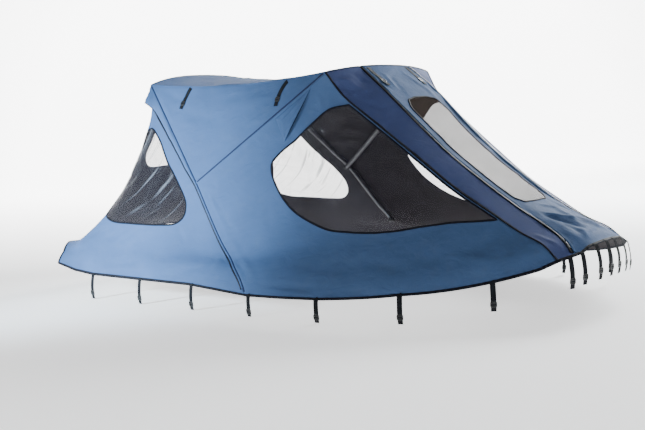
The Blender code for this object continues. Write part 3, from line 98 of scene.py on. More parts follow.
# The side line: it runs round the widest part of the canopy's foot, whose edge is round
HALF_BEAM = 0.87
ROUND_RADIUS = 0.22
SIDE_DROP = 0.010
BEND_START = 0.238
BOW = 1.564
BEND_POWERS = (1.733, 2.305)
SHEER_START = 0.594
SHEER_RISE = 0.152
SHEER_POWER = 2.6

# Height of the hem: distance along the side line, degrees up from level
HEM_ANGLE = (
    (-1.484, 32.0), (-1.3, 23.0), (-1.125, 19.0), (-0.316, 17.0), (0.091, 10.0), (0.539, 12.0),
    (0.919, 17.0), (1.547, 16.0), (1.644, 19.0), (1.776, 20.0), (1.83, 24.5), (1.95, 26.0),
    (1.996, 26.0),
)
STERN_TURN = ((-1.484, 32.0), (-1.500, 53.0), (-1.597, 85.0))
LEG_FOOT, SEAM_FOOT, ZIP_FOOT, CORNER = 0.091, 1.644, 1.726, -1.484

# Hoops: tops of the legs and the pivot, starboard side, and the rise of each crown
MAIN_TOP = (-0.991, -0.454, 1.099)
FORE_TOP = (0.297, -0.428, 1.077)
PIVOT = (-0.462, -0.638, 0.555)
MAIN_RISE = 0.0784
FORE_RISE = 0.0525
ARCH_POWER = 2.4
PIVOT_AT = 0.5
EDGE_SAG = 0.034
ROOF_SAG = 0.050

# Lines on the starboard side, each from top to bottom: x, y, z
LEG_LOW = (
    (-0.195, -0.718, 0.235), (-0.126, -0.746, 0.188), (-0.035, -0.806, 0.146), (0.034, -0.841, 0.1),
)
SEAM = (
    (0.385, -0.4, 0.952), (0.48, -0.382, 0.871), (0.576, -0.366, 0.794), (0.756, -0.345, 0.652),
    (0.989, -0.324, 0.475), (1.142, -0.315, 0.381), (1.275, -0.314, 0.302), (1.395, -0.32, 0.247),
)
FRONT_ZIP_TOP = 0.20
FRONT_ZIP = (
    (0.515, -0.212, 0.951), (0.679, -0.202, 0.793), (0.864, -0.193, 0.63), (1.034, -0.186, 0.504),
    (1.198, -0.18, 0.392), (1.333, -0.187, 0.316), (1.423, -0.213, 0.264),
)
QUARTER = (
    (-0.96, -0.49, 0.935), (-0.977, -0.515, 0.85), (-1.002, -0.54, 0.748), (-1.047, -0.576, 0.632),
    (-1.106, -0.617, 0.512), (-1.186, -0.658, 0.413), (-1.316, -0.699, 0.299), (-1.44, -0.726, 0.226),
    (-1.56, -0.72, 0.205),
)
REAR_MIDDLE = (
    (-1.018, 0.0, 0.96), (-1.038, 0.0, 0.8), (-1.08, 0.0, 0.64), (-1.15, 0.0, 0.5), (-1.25, 0.0, 0.39),
    (-1.39, 0.0, 0.3), (-1.56, 0.0, 0.235),
)
STERN_HEM = ((-1.600, -0.560, 0.205), (-1.585, -0.300, 0.222))
QUARTER_AT, CORNER_AT, TURN_AT = 0.67, 0.62, 0.72
QUARTER_TIGHT, MIDDLE_EASE = 0.55, 0.90

# Windows, as points of their panels: down, across (rear: across runs from the leg to the middle)
REAR_WINDOW = (
    (0.231, 0.345), (0.281, 0.255), (0.399, 0.185), (0.504, 0.133), (0.58, 0.115), (0.635, 0.14),
    (0.673, 0.19), (0.683, 0.26), (0.686, 0.4), (0.677, 0.553), (0.655, 0.62), (0.6, 0.655),
    (0.474, 0.68), (0.38, 0.68), (0.292, 0.655), (0.24, 0.6), (0.215, 0.48),
)
SIDE_WINDOW = (
    (0.135, 0.975), (0.114, 0.909), (0.119, 0.781), (0.136, 0.648), (0.15, 0.53), (0.174, 0.464),
    (0.204, 0.439), (0.272, 0.417), (0.366, 0.409), (0.444, 0.42), (0.522, 0.453), (0.586, 0.494),
    (0.63, 0.565), (0.661, 0.637), (0.677, 0.704), (0.692, 0.799), (0.719, 0.883), (0.746, 0.946),
    (0.769, 0.975),
)
SIDE_WINDOW_MARGIN = 0.016
FRONT_WINDOW = (
    (0.183, 0.0), (0.187, 0.35), (0.205, 0.58), (0.25, 0.7), (0.34, 0.68), (0.45, 0.68), (0.6, 0.71),
    (0.69, 0.71), (0.715, 0.62), (0.728, 0.3), (0.73, 0.0),
)
STERN_WINDOW = (
    (0.1, 0.0), (0.105, 0.12), (0.14, 0.215), (0.26, 0.255), (0.37, 0.255), (0.425, 0.215),
    (0.44, 0.12), (0.442, 0.0),
)
VENT = ((0.014, 0.872), (0.014, 0.620), (0.114, 0.596))
VENT_LIFT, VENT_WIDTH, VENT_NET = 0.0006, 0.15, 0.0005
FILM_SINK = 0.0004
FILM_MARGIN, FILM_ROWS, FILM_COLUMNS = 0.03, 70, 90
AFT_ZIP = (
    (0.0, 0.048), (0.03, 0.046), (0.12, 0.04), (0.41, 0.026), (0.5, 0.014), (0.75, 0.013), (1.0, 0.013),
)
AFT_ZIP_END = 0.972
# How far down the leg the free corner of the aft flap lies, and the share of its bulge down the leg
SLEEVE_SLANT = 0.05
SLEEVE_BULGE = ((0.0, 1.0), (0.45, 0.9), (0.55, 0.55), (1.0, 0.45))
ROOF_STRAPS = (("aft", 0.022, 0.252, 0.290, 0.123), ("mid", 0.150, 0.800, 0.830, 0.660))
FRONT_STRAP = (0.012, -0.80, 0.118, -0.74)
ROOF_STRAP_LIFT = 0.0006
HEM_STRAPS = (-1.116, -0.707, -0.298, 0.111, 0.520, 0.929, 1.338, 1.700, 1.770, 1.870, 1.960)
HEM_STRAP_END = -15.0
HEM_STRAP_ABOVE = 0.010
HEM_STRAP_LIFT = 0.0026
BUCKLE_AT = 0.745
BUCKLE_HALF = 0.015
BUCKLE_LENGTH = 0.028
BUCKLE_THICK = 0.0048

# Profiles of tapes and cords as shares of half width and height: a flat tape with a domed top,
# and a piped seam with flat wings
DOME = (
    (-1.0, -0.1), (-1.0, 0.3), (-0.88, 0.68), (-0.6, 0.92), (0.0, 1.0), (0.6, 0.92), (0.88, 0.68),
    (1.0, 0.3), (1.0, -0.1), (0.0, -0.1),
)
CORD = (
    (-1.0, -0.06), (-1.0, 0.22), (-0.55, 0.34), (-0.42, 0.62), (-0.26, 0.9), (0.0, 1.0), (0.26, 0.9),
    (0.42, 0.62), (0.55, 0.34), (1.0, 0.22), (1.0, -0.06), (0.0, -0.06),
)
# Tape of the front zip: share of half width, height
ZIP_TAPE = (
    (-1.0, -0.0002), (-1.0, 0.0011), (-0.85, 0.0017), (-0.3, 0.0019), (0.0, 0.002), (0.3, 0.0019),
    (0.85, 0.0017), (1.0, 0.0011), (1.0, -0.0002), (0.0, -0.0002),
)
# A tooth of the zips seen from outside, as shares of its pitch and half width
TOOTH = ((-0.35, -0.20), (0.35, -0.20), (0.45, 0.6), (0.22, 1.0), (-0.22, 1.0), (-0.45, 0.6))
# The slider: share of its outline and height; the pull: distance along it and half width
SLIDER_LEVELS = ((0.55, 0.0012), (1.0, 0.0016), (1.0, 0.0044), (0.60, 0.0054))
PULL_WIDTHS = ((0.0, 0.0022), (0.006, 0.0032), (0.026, 0.0040), (0.034, 0.0026))
# Section of the hem tape round the cloth's edge: height above the hem, outwards
HEM_SECTION = (
    (0.014, 0.0002), (0.0141, 0.0012), (0.0132, 0.0021), (0.01, 0.0026), (0.005, 0.0026),
    (0.0012, 0.0024), (-0.0006, 0.0016), (-0.0013, 0.0002), (-0.0008, -0.0014), (0.0012, -0.0026),
    (0.006, -0.003), (0.011, -0.0028), (0.0128, -0.0022), (0.0128, -0.0014), (0.006, -0.0012),
    (0.006, 0.0),
)
HEM_TAPE_HALF = 0.007
# Half width and height of each felled seam
ROOF_EDGE_SEAM = (0.006, 0.0016)
FORE_LEG_SEAM = (0.004, 0.0018)
MAIN_LEG_SEAM = (0.0045, 0.0016)
MAIN_CROWN_SEAM = (0.011, 0.0018)
FORE_CROWN_SEAM = (0.008, 0.0018)
CROWN_REACH = 0.985
# The main hoop's foot, turned about the way out: radius, height
FOOT = (
    (0.0, -0.0002), (0.024, -0.0002), (FOOT_RADIUS, 0.0012), (FOOT_RADIUS, 0.0052), (0.0235, 0.0068),
    (0.0185, 0.008), (0.0175, 0.019), (0.0165, 0.0215), (0.0, 0.0215),
)
# The fore hoop's pivot fitting
PIVOT_FITTING = (
    (0.0, 0.0), (PIVOT_RADIUS - 0.002, 0.0), (PIVOT_RADIUS, 0.002), (PIVOT_RADIUS, PIVOT_LENGTH - 0.004),
    (PIVOT_RADIUS - 0.003, PIVOT_LENGTH - 0.001), (0.009, PIVOT_LENGTH), (0.0085, PIVOT_LENGTH + 0.004),
    (0.007, PIVOT_LENGTH + 0.005), (0.0, PIVOT_LENGTH + 0.005),
)

# Folds of each panel: down, across at both ends, half width, height (below zero for a trough)
REAR_FOLDS = (
    (0.74, 0.42, 0.79, 0.52, 0.016, -0.005), (0.715, 0.56, 0.85, 0.64, 0.02, -0.006),
    (0.9, 0.11, 0.965, 0.24, 0.022, -0.007), (0.84, 0.03, 0.95, 0.1, 0.02, 0.005),
    (0.76, 0.9, 0.88, 0.93, 0.03, -0.006), (0.7, 0.335, 0.793, 0.429, 0.012, -0.006),
    (0.704, 0.405, 0.752, 0.455, 0.007, -0.004), (0.704, 0.45, 0.757, 0.485, 0.007, -0.004),
    (0.703, 0.51, 0.762, 0.545, 0.008, -0.004), (0.847, 0.562, 0.985, 0.655, 0.018, -0.005),
    (0.683, 0.18, 0.77, 0.16, 0.014, -0.004), (0.96, 0.015, 0.985, 0.1, 0.012, 0.004),
    (0.03, 0.25, 0.205, 0.3, 0.02, -0.003), (0.06, 0.48, 0.2, 0.44, 0.025, 0.003),
    (0.93, 0.33, 0.975, 0.46, 0.018, 0.004), (0.87, 0.3, 0.93, 0.42, 0.022, -0.003),
    (0.3, 0.8, 0.7, 0.85, 0.05, 0.006), (0.2, 0.93, 0.6, 0.96, 0.05, -0.005),
)
UPPER_FOLDS = (
    (0.05, 0.04, 0.2, 0.17, 0.018, -0.005), (0.33, 0.1, 0.6, 0.33, 0.03, -0.004),
    (0.49, 0.239, 0.493, 0.392, 0.012, -0.003), (0.804, 0.425, 0.864, 0.542, 0.012, 0.003),
    (0.057, 0.255, 0.035, 0.408, 0.012, 0.003), (0.183, 0.675, 0.312, 0.544, 0.014, -0.003),
    (0.789, 0.379, 0.794, 0.483, 0.01, -0.003), (0.882, 0.234, 0.931, 0.43, 0.012, 0.003),
    (0.15, 0.02, 0.42, 0.035, 0.014, 0.004), (0.25, 0.35, 0.3, 0.56, 0.02, -0.003),
    (0.62, 0.15, 0.64, 0.3, 0.014, 0.003), (0.42, 0.52, 0.52, 0.7, 0.018, 0.003),
)
LOWER_FOLDS = (
    (0.12, 0.045, 0.5, 0.045, 0.016, 0.005), (0.48, 0.05, 0.88, 0.07, 0.016, 0.005),
    (0.93, 0.13, 0.935, 0.3, 0.02, -0.006), (0.06, 0.036, 0.45, 0.03, 0.006, -0.004),
    (0.45, 0.03, 0.92, 0.034, 0.006, -0.004), (0.94, 0.061, 0.975, 0.267, 0.01, 0.004),
    (0.309, 0.339, 0.505, 0.258, 0.022, -0.004), (0.036, 0.9, 0.1, 0.86, 0.01, 0.004),
    (0.145, 0.07, 0.576, 0.08, 0.01, -0.003), (0.8, 0.18, 0.9, 0.38, 0.03, 0.004),
    (0.78, 0.5, 0.9, 0.62, 0.03, -0.004), (0.85, 0.76, 0.93, 0.86, 0.022, 0.004),
)
CHEEK_FOLDS = (
    (0.035, 0.25, 0.12, 0.55, 0.014, 0.01), (0.03, 0.62, 0.095, 0.78, 0.012, -0.01),
    (0.035, 0.05, 0.064, 0.56, 0.01, 0.008), (0.05, 0.05, 0.104, 0.304, 0.008, -0.008),
    (0.03, 0.4, 0.07, 0.86, 0.008, 0.006), (0.073, 0.29, 0.128, 0.3, 0.008, 0.008),
    (0.14, 0.2, 0.22, 0.6, 0.014, -0.004), (0.86, 0.2, 0.95, 0.7, 0.012, 0.004),
)
SCREEN_FOLDS = (
    (0.05, -0.42, 0.15, -0.64, 0.01, 0.005), (0.04, 0.38, 0.16, 0.6, 0.01, 0.005),
    (0.8, -0.6, 0.93, -0.15, 0.018, -0.012), (0.83, 0.1, 0.95, 0.45, 0.02, 0.012),
    (0.78, 0.25, 0.9, -0.12, 0.016, 0.009), (0.073, -0.96, 0.169, -0.675, 0.008, -0.005),
    (0.1, -0.93, 0.18, -0.637, 0.006, 0.004), (0.06, -0.6, 0.178, -0.599, 0.007, -0.004),
    (0.06, -0.3, 0.176, -0.525, 0.007, -0.004), (0.912, -0.252, 0.96, -0.498, 0.01, 0.009),
    (0.787, -0.576, 0.903, 0.233, 0.01, 0.009), (0.921, 0.618, 0.96, -0.3, 0.01, -0.007),
    (0.735, -0.854, 0.939, -0.889, 0.008, -0.007), (0.116, 0.658, 0.22, 0.58, 0.01, 0.004),
    (0.88, -0.732, 0.96, -0.677, 0.007, 0.007), (0.74, 0.5, 0.86, 0.85, 0.014, -0.009),
    (0.75, -0.2, 0.8, 0.4, 0.01, 0.007), (0.86, -0.55, 0.95, -0.45, 0.008, -0.007),
)
ROOF_FOLDS = (
    (0.06, -0.3, 0.3, -0.55, 0.03, -0.004), (0.7, 0.25, 0.94, 0.5, 0.03, -0.004),
    (0.08, 0.2, 0.35, 0.45, 0.03, 0.004), (0.6, -0.5, 0.93, -0.2, 0.03, 0.004),
    (0.3, -0.1, 0.7, 0.1, 0.06, -0.006),
)
FOLD_MARGIN = 0.03

# Finishes of a piece, by their number in its list
PLASTIC, METAL = 1, 2

# Slack of the cloth: slow waves over each panel, as wave length in metres, height, direction
SLACK = (
    (0.41, 0.0016, 0.8, 0.3, 0.52), (0.29, 0.0011, 0.25, 0.55, -0.8), (0.19, 0.0008, -0.6, 0.2, 0.77),
    (0.13, 0.0005, 0.35, -0.4, 0.85), (0.085, 0.0003, 0.9, 0.1, -0.42),
)
SLACK_BEND = 1.7


class CanopySizes(PropertyGroup):
    """Sizes that a user would change."""
    cloth: FloatProperty(name="Cloth", description="Thickness of the cloth", default=0.0012, unit="LENGTH")
    film: FloatProperty(name="Film", description="Thickness of the clear film", default=0.0006, unit="LENGTH")
    step: FloatProperty(name="Step", description="Mesh step of the panels", default=0.012, unit="LENGTH")
    piping: FloatProperty(name="Piping", description="Half width of the piping", default=0.005, unit="LENGTH")
    piping_height: FloatProperty(name="Piping height", description="How far the piping stands up",
                                 default=0.0032, unit="LENGTH")
    strap: FloatProperty(name="Strap", description="Half width of the straps", default=0.0125, unit="LENGTH")
    webbing: FloatProperty(name="Webbing", description="Thickness of the webbing",
                           default=0.0016, unit="LENGTH")
    tooth: FloatProperty(name="Tooth pitch", description="Distance between the zip's teeth",
                         default=0.0060, unit="LENGTH")
    flap_bulge: FloatProperty(name="Flap", description="How far the aft flap bulges",
                              default=0.006, unit="LENGTH")
    flap_corner: FloatProperty(name="Flap corner", description="How far the flap's free corner stands off",
                               default=0.045, unit="LENGTH")
    vent_lift: FloatProperty(name="Vent", description="How far the vent stands open",
                             default=0.018, unit="LENGTH")


class CanopyColours(PropertyGroup):
    """Colours that a user would change."""
    cloth: FloatVectorProperty(name="Cloth", description="Blue cloth", subtype="COLOR",
                               default=(0.062, 0.114, 0.238))
    # Painted shade: a darker copy of the blue cloth, laid on the bow cheeks in place of the shade that falls
    # on them
    shaded_cloth: FloatVectorProperty(name="Shaded cloth", description="Cloth of the bow", subtype="COLOR",
                                    default=(0.062, 0.086, 0.205))
    lining: FloatVectorProperty(name="Lining", description="Inner face of the cloth", subtype="COLOR",
                                default=(0.026, 0.022, 0.026))
    trim: FloatVectorProperty(name="Trim", description="Piping and binding", subtype="COLOR",
                              default=(0.006, 0.007, 0.012))
    webbing: FloatVectorProperty(name="Webbing", description="Straps", subtype="COLOR",
                                 default=(0.006, 0.007, 0.010))
    film: FloatVectorProperty(name="Film", description="Tint of the clear film", subtype="COLOR",
                              default=(0.024, 0.024, 0.034))
    screen_film: FloatVectorProperty(name="Windscreen film", description="Tint of the windscreen",
                                     subtype="COLOR", default=(0.060, 0.046, 0.038))
    metal: FloatVectorProperty(name="Hoops", description="Anodised tube", subtype="COLOR",
                               default=(0.20, 0.20, 0.21))
    plastic: FloatVectorProperty(name="Plastic", description="Buckles and fittings", subtype="COLOR",
                                 default=(0.008, 0.009, 0.010))
    stage: FloatVectorProperty(name="Stage", description="Floor and backdrop", subtype="COLOR",
                               default=(0.86, 0.86, 0.86))


# Curves

def reach_of(p):
    """Distance along a line of points."""
    return np.concatenate([[0.0], np.cumsum(np.linalg.norm(np.diff(p, axis=0), axis=1))])


def straight_between(at, knots, rows):
    """Rows of an array at other places, straight between the knots."""
    return np.stack([np.interp(at, knots, rows[:, k]) for k in range(rows.shape[1])], axis=-1)


def unit(v):
    """Rows of an array, each made one long."""
    return v / np.maximum(np.linalg.norm(v, axis=-1, keepdims=True), 1e-12)


def along(rows, at):
    """Cubic through the rows, sloped after their neighbours; `at` is the share of the length."""
    p = np.asarray(rows, float)
    knots = reach_of(p)
    knots /= knots[-1]
    slope = np.gradient(p, knots, axis=0)
    at = np.clip(np.asarray(at, float), 0.0, 1.0)
    i = np.clip(np.searchsorted(knots, at, side="right") - 1, 0, len(knots) - 2)
    width = (knots[i + 1] - knots[i])[..., None]
    s = ((at - knots[i]) / (knots[i + 1] - knots[i]))[..., None]
    return ((1 + 2 * s) * (1 - s) ** 2 * p[i] + s * (1 - s) ** 2 * width * slope[i]
            + s * s * (3 - 2 * s) * p[i + 1] + s * s * (s - 1) * width * slope[i + 1])


def side_line():
    """The side line: straight, then a superellipse in plan that rises to the bow as a power of x."""
    straight = np.linspace(-2.2, BEND_START, 300)
    a = np.linspace(0.0, math.pi / 2, 1200)[1:]
    x = np.concatenate([straight, BEND_START + (BOW - BEND_START) * np.sin(a) ** (2 / BEND_POWERS[0])])
    y = np.concatenate([np.full(300, -HALF_BEAM), -HALF_BEAM * np.cos(a) ** (2 / BEND_POWERS[1])])
    sheer = np.clip((x - SHEER_START) / (BOW - SHEER_START), 0.0, None) ** SHEER_POWER
    p = np.stack([x, y, SHEER_RISE * sheer - SIDE_DROP], axis=1)
    distance = reach_of(p)
    distance -= np.interp(0.0, x[:300], distance[:300])
    t = unit(np.gradient(p, axis=0) * (1.0, 1.0, 0.0))
    return distance, p, np.stack([t[:, 1], -t[:, 0], 0 * t[:, 0]], axis=1)


SIDE_LINE = side_line()
NOSE = SIDE_LINE[0][-1]


def round_middle(distance):
    """Middle of the round edge and its level outward direction at a distance along the side line."""
    reach, points, outward = SIDE_LINE
    point = straight_between(distance, reach, points)
    out = straight_between(distance, reach, outward)
    return point - ROUND_RADIUS * out, out


def on_round(distance, degrees, lift=0.0):
    """Point on the round edge: its radius turned up by the angle about the edge's middle."""
    middle, out = round_middle(np.asarray(distance, float))
    a = np.radians(np.asarray(degrees, float))[..., None]
    return middle + (ROUND_RADIUS + lift) * (np.cos(a) * out + np.sin(a) * np.array([0.0, 0.0, 1.0]))


def hem_angle(distance):
    """Degrees up from level at which the hem lies, straight between the table's rows."""
    table = np.array(HEM_ANGLE)
    return np.interp(distance, table[:, 0], table[:, 1])


def hem(distance):
    """Point of the hem."""
    return on_round(distance, hem_angle(distance))


def crown(top, rise, y):
    """Point of a hoop's crown: the rise times one less a power of y, in the direction of the leg."""
    lean = np.array([top[0] - PIVOT[0], 0.0, top[2] - PIVOT[2]])
    lean /= np.linalg.norm(lean)
    y = np.asarray(y, float)
    k = rise * (1 - (np.abs(y) / abs(top[1])) ** ARCH_POWER)
    return np.stack([top[0] + lean[0] * k, y, top[2] + lean[2] * k], axis=-1)


def leg(at):
    """Ridge over the main hoop's leg: straight to the pivot at PIVOT_AT, then a curve to the hem."""
    u = np.asarray(at, float)
    straight = np.array(MAIN_TOP) + (np.array(PIVOT) - np.array(MAIN_TOP)) * (u / PIVOT_AT)[..., None]
    rows = np.vstack([PIVOT, LEG_LOW, hem(LEG_FOOT)])
    low = along(rows, (u - PIVOT_AT) / (1 - PIVOT_AT))
    return np.where((u < PIVOT_AT)[..., None], straight, low)


def fore_leg(at):
    """Ridge over the fore hoop's leg, straight from the pivot to its top."""
    return np.array(PIVOT) + (np.array(FORE_TOP) - np.array(PIVOT)) * np.asarray(at, float)[..., None]


def roof_edge(at):
    """Edge between the roof and the upper side: straight, less a parabola of sag."""
    t = np.asarray(at, float)[..., None]
    sag = np.array([0.0, 0.0, EDGE_SAG]) * 4 * t * (1 - t)
    return np.array(MAIN_TOP) + (np.array(FORE_TOP) - np.array(MAIN_TOP)) * t - sag


def seam(at):
    """Seam between the lower side and the bow cheek, a curve from the fore hoop to the hem."""
    return along(np.vstack([FORE_TOP, SEAM, hem(SEAM_FOOT)]), at)


def front_zip(at):
    """Zip between the bow cheek and the windscreen, a curve from the fore hoop to the hem."""
    return along(np.vstack([crown(FORE_TOP, FORE_RISE, -FRONT_ZIP_TOP), FRONT_ZIP, hem(ZIP_FOOT)]), at)


# Panels as surfaces of (down, across)

def coons(u, v, start, end, left, right):
    """Surface between four curves: the two ruled surfaces added, less the one through the corners."""
    u, v = np.broadcast_arrays(np.asarray(u, float), np.asarray(v, float))
    zero, one = np.zeros_like(u), np.ones_like(u)
    a, b = u[..., None], v[..., None]
    corners = ((1 - a) * (1 - b) * start(zero) + a * (1 - b) * start(one)
               + (1 - a) * b * end(zero) + a * b * end(one))
    return (1 - b) * start(u) + b * end(u) + (1 - a) * left(v) + a * right(v) - corners


def hermite(s, p0, p1, m0, m1):
    """Cubic from p0 to p1 with the slopes m0 and m1."""
    return ((1 + 2 * s) * (1 - s) ** 2 * p0 + s * (1 - s) ** 2 * m0
            + s * s * (3 - 2 * s) * p1 + s * s * (s - 1) * m1)


def rear_hem(v):
    """Hem of the rear panel: the hem to the corner, a turn up over the round edge, then the stern."""
    side = hem(LEG_FOOT + (CORNER - LEG_FOOT) * np.clip(v / CORNER_AT, 0.0, 1.0))
    k = np.clip((v - CORNER_AT) / (TURN_AT - CORNER_AT), 0.0, 1.0)
    turn = np.array(STERN_TURN)
    turned = on_round(np.interp(k, (0.0, 0.4, 1.0), turn[:, 0]), np.interp(k, (0.0, 0.4, 1.0), turn[:, 1]))
    rows = np.vstack([on_round(*STERN_TURN[-1]), STERN_HEM, REAR_MIDDLE[-1]])
    stern = along(rows, (v - TURN_AT) / (1 - TURN_AT))
    return np.where((v < CORNER_AT)[..., None], side, np.where((v < TURN_AT)[..., None], turned, stern))


def rear_loft(u, v):
    """Rear panel before its edges are drawn in: cubics from the leg over the quarter line to the middle."""
    ridge = leg(u)
    quarter = along(np.vstack([MAIN_TOP, QUARTER]), u)
    middle = along(np.vstack([crown(MAIN_TOP, MAIN_RISE, 0.0), REAR_MIDDLE]), u)
    turn = np.array([-0.7, 0.7, 0.0])
    s = np.clip(v / QUARTER_AT, 0.0, 1.0)[..., None]
    reach = np.linalg.norm(quarter - ridge, axis=-1)[..., None]
    side = hermite(s, ridge, quarter, quarter - ridge, reach * QUARTER_TIGHT * turn)
    s = np.clip((v - QUARTER_AT) / (1 - QUARTER_AT), 0.0, 1.0)[..., None]
    reach = np.linalg.norm(middle - quarter, axis=-1)[..., None]
    ease = reach * MIDDLE_EASE * np.array([0.0, 1.0, 0.0])
    back = hermite(s, quarter, middle, reach * QUARTER_TIGHT * turn, ease)
    return np.where((v < QUARTER_AT)[..., None], side, back)


def rear(down, across):
    """Rear panel: the loft, drawn to the crown by a power of (1 - down) and to the hem by one of down."""
    u, w = np.broadcast_arrays(np.asarray(down, float), np.asarray(across, float))
    v = 1 - np.abs(w)
    p = rear_loft(u, v)
    y = MAIN_TOP[1] * (1 - np.clip((v - QUARTER_AT) / (1 - QUARTER_AT), 0.0, 1.0))
    p = p + ((1 - u) ** 6)[..., None] * (crown(MAIN_TOP, MAIN_RISE, y) - rear_loft(np.zeros_like(u), v))
    p = p + (u ** 5)[..., None] * (rear_hem(v) - rear_loft(np.ones_like(u), v))
    return p * np.where((w > 0)[..., None], MIRROR, 1.0)


def roof(down, across):
    """Roof: straight lines from the main crown to the fore crown, less a parabola of sag."""
    u, v = np.broadcast_arrays(np.asarray(down, float), np.asarray(across, float))
    p = ((1 - u)[..., None] * crown(MAIN_TOP, MAIN_RISE, -MAIN_TOP[1] * v)
         + u[..., None] * crown(FORE_TOP, FORE_RISE, -FORE_TOP[1] * v))
    sag = EDGE_SAG + (ROOF_SAG - EDGE_SAG) * (1 - v ** 2)
    return p - (sag * 4 * u * (1 - u))[..., None] * np.array([0.0, 0.0, 1.0])


def upper_side(down, across):
    """Upper side: straight lines from the roof edge to the fore leg."""
    v, u = np.broadcast_arrays(np.asarray(down, float), np.asarray(across, float))
    p = (1 - v)[..., None] * roof_edge(u) + v[..., None] * fore_leg(u)
    straight = (1 - v)[..., None] * np.array(MAIN_TOP) + v[..., None] * np.array(PIVOT)
    return p + (1 - u)[..., None] * (leg(PIVOT_AT * v) - straight)


def lower_side(down, across):
    """Lower side: between the fore leg, the hem, the main leg and the seam."""
    return coons(across, down, fore_leg, lambda t: hem(LEG_FOOT + (SEAM_FOOT - LEG_FOOT) * t),
                 lambda t: leg(PIVOT_AT + (1 - PIVOT_AT) * t), seam)


def cheek(down, across):
    """Bow cheek: between the fore crown, the hem, the seam and the zip."""
    top = FORE_TOP[1]
    return coons(across, down, lambda t: crown(FORE_TOP, FORE_RISE, top + (-FRONT_ZIP_TOP - top) * t),
                 lambda t: hem(SEAM_FOOT + (ZIP_FOOT - SEAM_FOOT) * t), seam, front_zip)


def windscreen(down, across):
    """Windscreen: straight lines from zip to zip, drawn to the crown and to the hem by powers of down."""
    v, u = np.broadcast_arrays(np.asarray(down, float), np.asarray(across, float))
    a = ((1 - u) / 2)[..., None]

    def between(line):
        return line * a + line * MIRROR * (1 - a)

    flat = between(front_zip(v))
    top = crown(FORE_TOP, FORE_RISE, FRONT_ZIP_TOP * u) - between(front_zip(np.zeros_like(v)))
    low = hem(NOSE + (ZIP_FOOT - NOSE) * np.abs(u)) * np.where((u > 0)[..., None], MIRROR, 1.0)
    low = low - between(front_zip(np.ones_like(v)))
    return flat + (1 - v)[..., None] ** 3 * top + v[..., None] ** 5 * low


def frame_at(surface, ab):
    """Slopes of the surface down and across, as differences over a short step, and their cross product."""
    h = 1e-4
    ab = np.clip(ab, (0.0005, -0.9995), 0.9995)
    lo, hi = ab - h, ab + h
    a, b = ab[:, 0], ab[:, 1]
    slope_a = (surface(hi[:, 0], b) - surface(lo[:, 0], b)) / (2 * h)
    slope_b = (surface(a, hi[:, 1]) - surface(a, lo[:, 1])) / (2 * h)
    return slope_a, slope_b, unit(np.cross(slope_a, slope_b))


def slack(p):
    """Slow waves of the cloth: a sum of sines along fixed directions, each bent by the one before."""
    total, turn = 0.0, 0.0
    for length, height, *direction in SLACK:
        turn = np.sin(2 * math.pi * (p @ np.array(direction)) / length + SLACK_BEND * turn)
        total = total + height * turn
    return total


class ClothPanel:
    """A panel: its smooth form, how far it reaches across, and its folds."""

    def __init__(self, form, folds, across=(-1.0, 1.0), twin=False):
        self.form, self.across = form, across
        self.folds = [(row, side) for row in folds for side in ((1.0, -1.0) if twin else (1.0,))]

    def normal(self, ab):
        """Outward direction of the smooth form."""
        n = frame_at(self.form, ab)[2]
        p = self.form(ab[:, 0], ab[:, 1])
        return n * np.where(((p - INNER_POINT) * n).sum(1) < 0, -1.0, 1.0)[:, None]

    def point(self, ab):
        """The form lifted by its folds: a bell across each fold's line times half a sine along it."""
        flat = self.form(ab[:, 0], ab[:, 1])
        height = slack(flat)
        for row, side in self.folds:
            ends = self.form(np.array([row[0], row[2]]), side * np.array([row[1], row[3]]))
            span = ends[1] - ends[0]
            t = (flat - ends[0]) @ span / (span @ span)
            rise = np.sin(math.pi * np.clip(t, 0.0, 1.0)) ** 0.8
            off = np.linalg.norm(flat - ends[0] - t[:, None] * span, axis=1)
            height = height + row[5] * rise * np.exp(-(off / row[4]) ** 2)
        low, high = self.across
        edge = np.minimum(np.minimum(ab[:, 0], 1 - ab[:, 0]), np.minimum(ab[:, 1] - low, high - ab[:, 1]))
        return flat + self.normal(ab) * (height * np.clip(edge / FOLD_MARGIN, 0.0, 1.0) ** 2)[:, None]

    def shift(self, ab, direction, distance):
        """Parameters of the points that lie a distance away in a direction along the form."""
        sa, sb, _ = frame_at(self.form, ab)
        aa, bb, cc = (sa * sa).sum(1), (sb * sb).sum(1), (sa * sb).sum(1)
        ra, rb = (sa * direction).sum(1), (sb * direction).sum(1)
        det = np.maximum(aa * bb - cc * cc, 1e-9)
        step = np.stack([(ra * bb - rb * cc) / det, (rb * aa - ra * cc) / det], axis=1)
        return np.clip(ab + step * distance, (0.0, self.across[0]), (1.0, self.across[1]))


def rows_from_middle(rows):
    """Rear folds with across counted from the middle."""
    return [(r[0], 1 - r[1], r[2], 1 - r[3], r[4], r[5]) for r in rows]


REAR = ClothPanel(rear, rows_from_middle(REAR_FOLDS), twin=True)
ROOF = ClothPanel(roof, ROOF_FOLDS)
UPPER = ClothPanel(upper_side, UPPER_FOLDS, (0.0, 1.0))
LOWER = ClothPanel(lower_side, LOWER_FOLDS, (0.0, 1.0))
CHEEK = ClothPanel(cheek, CHEEK_FOLDS, (0.0, 1.0))
SCREEN = ClothPanel(windscreen, SCREEN_FOLDS)


def column(down, across):
    """Parameters from two lists or a list and a number."""
    down, across = np.broadcast_arrays(np.asarray(down, float), np.asarray(across, float))
    return np.stack([down, across], axis=1)


def evenly(form, ab, count):
    """A dense line of a form cut into steps of equal length."""
    reach = reach_of(form(ab[:, 0], ab[:, 1]))
    return straight_between(np.linspace(0.0, reach[-1], count + 1), reach, ab)


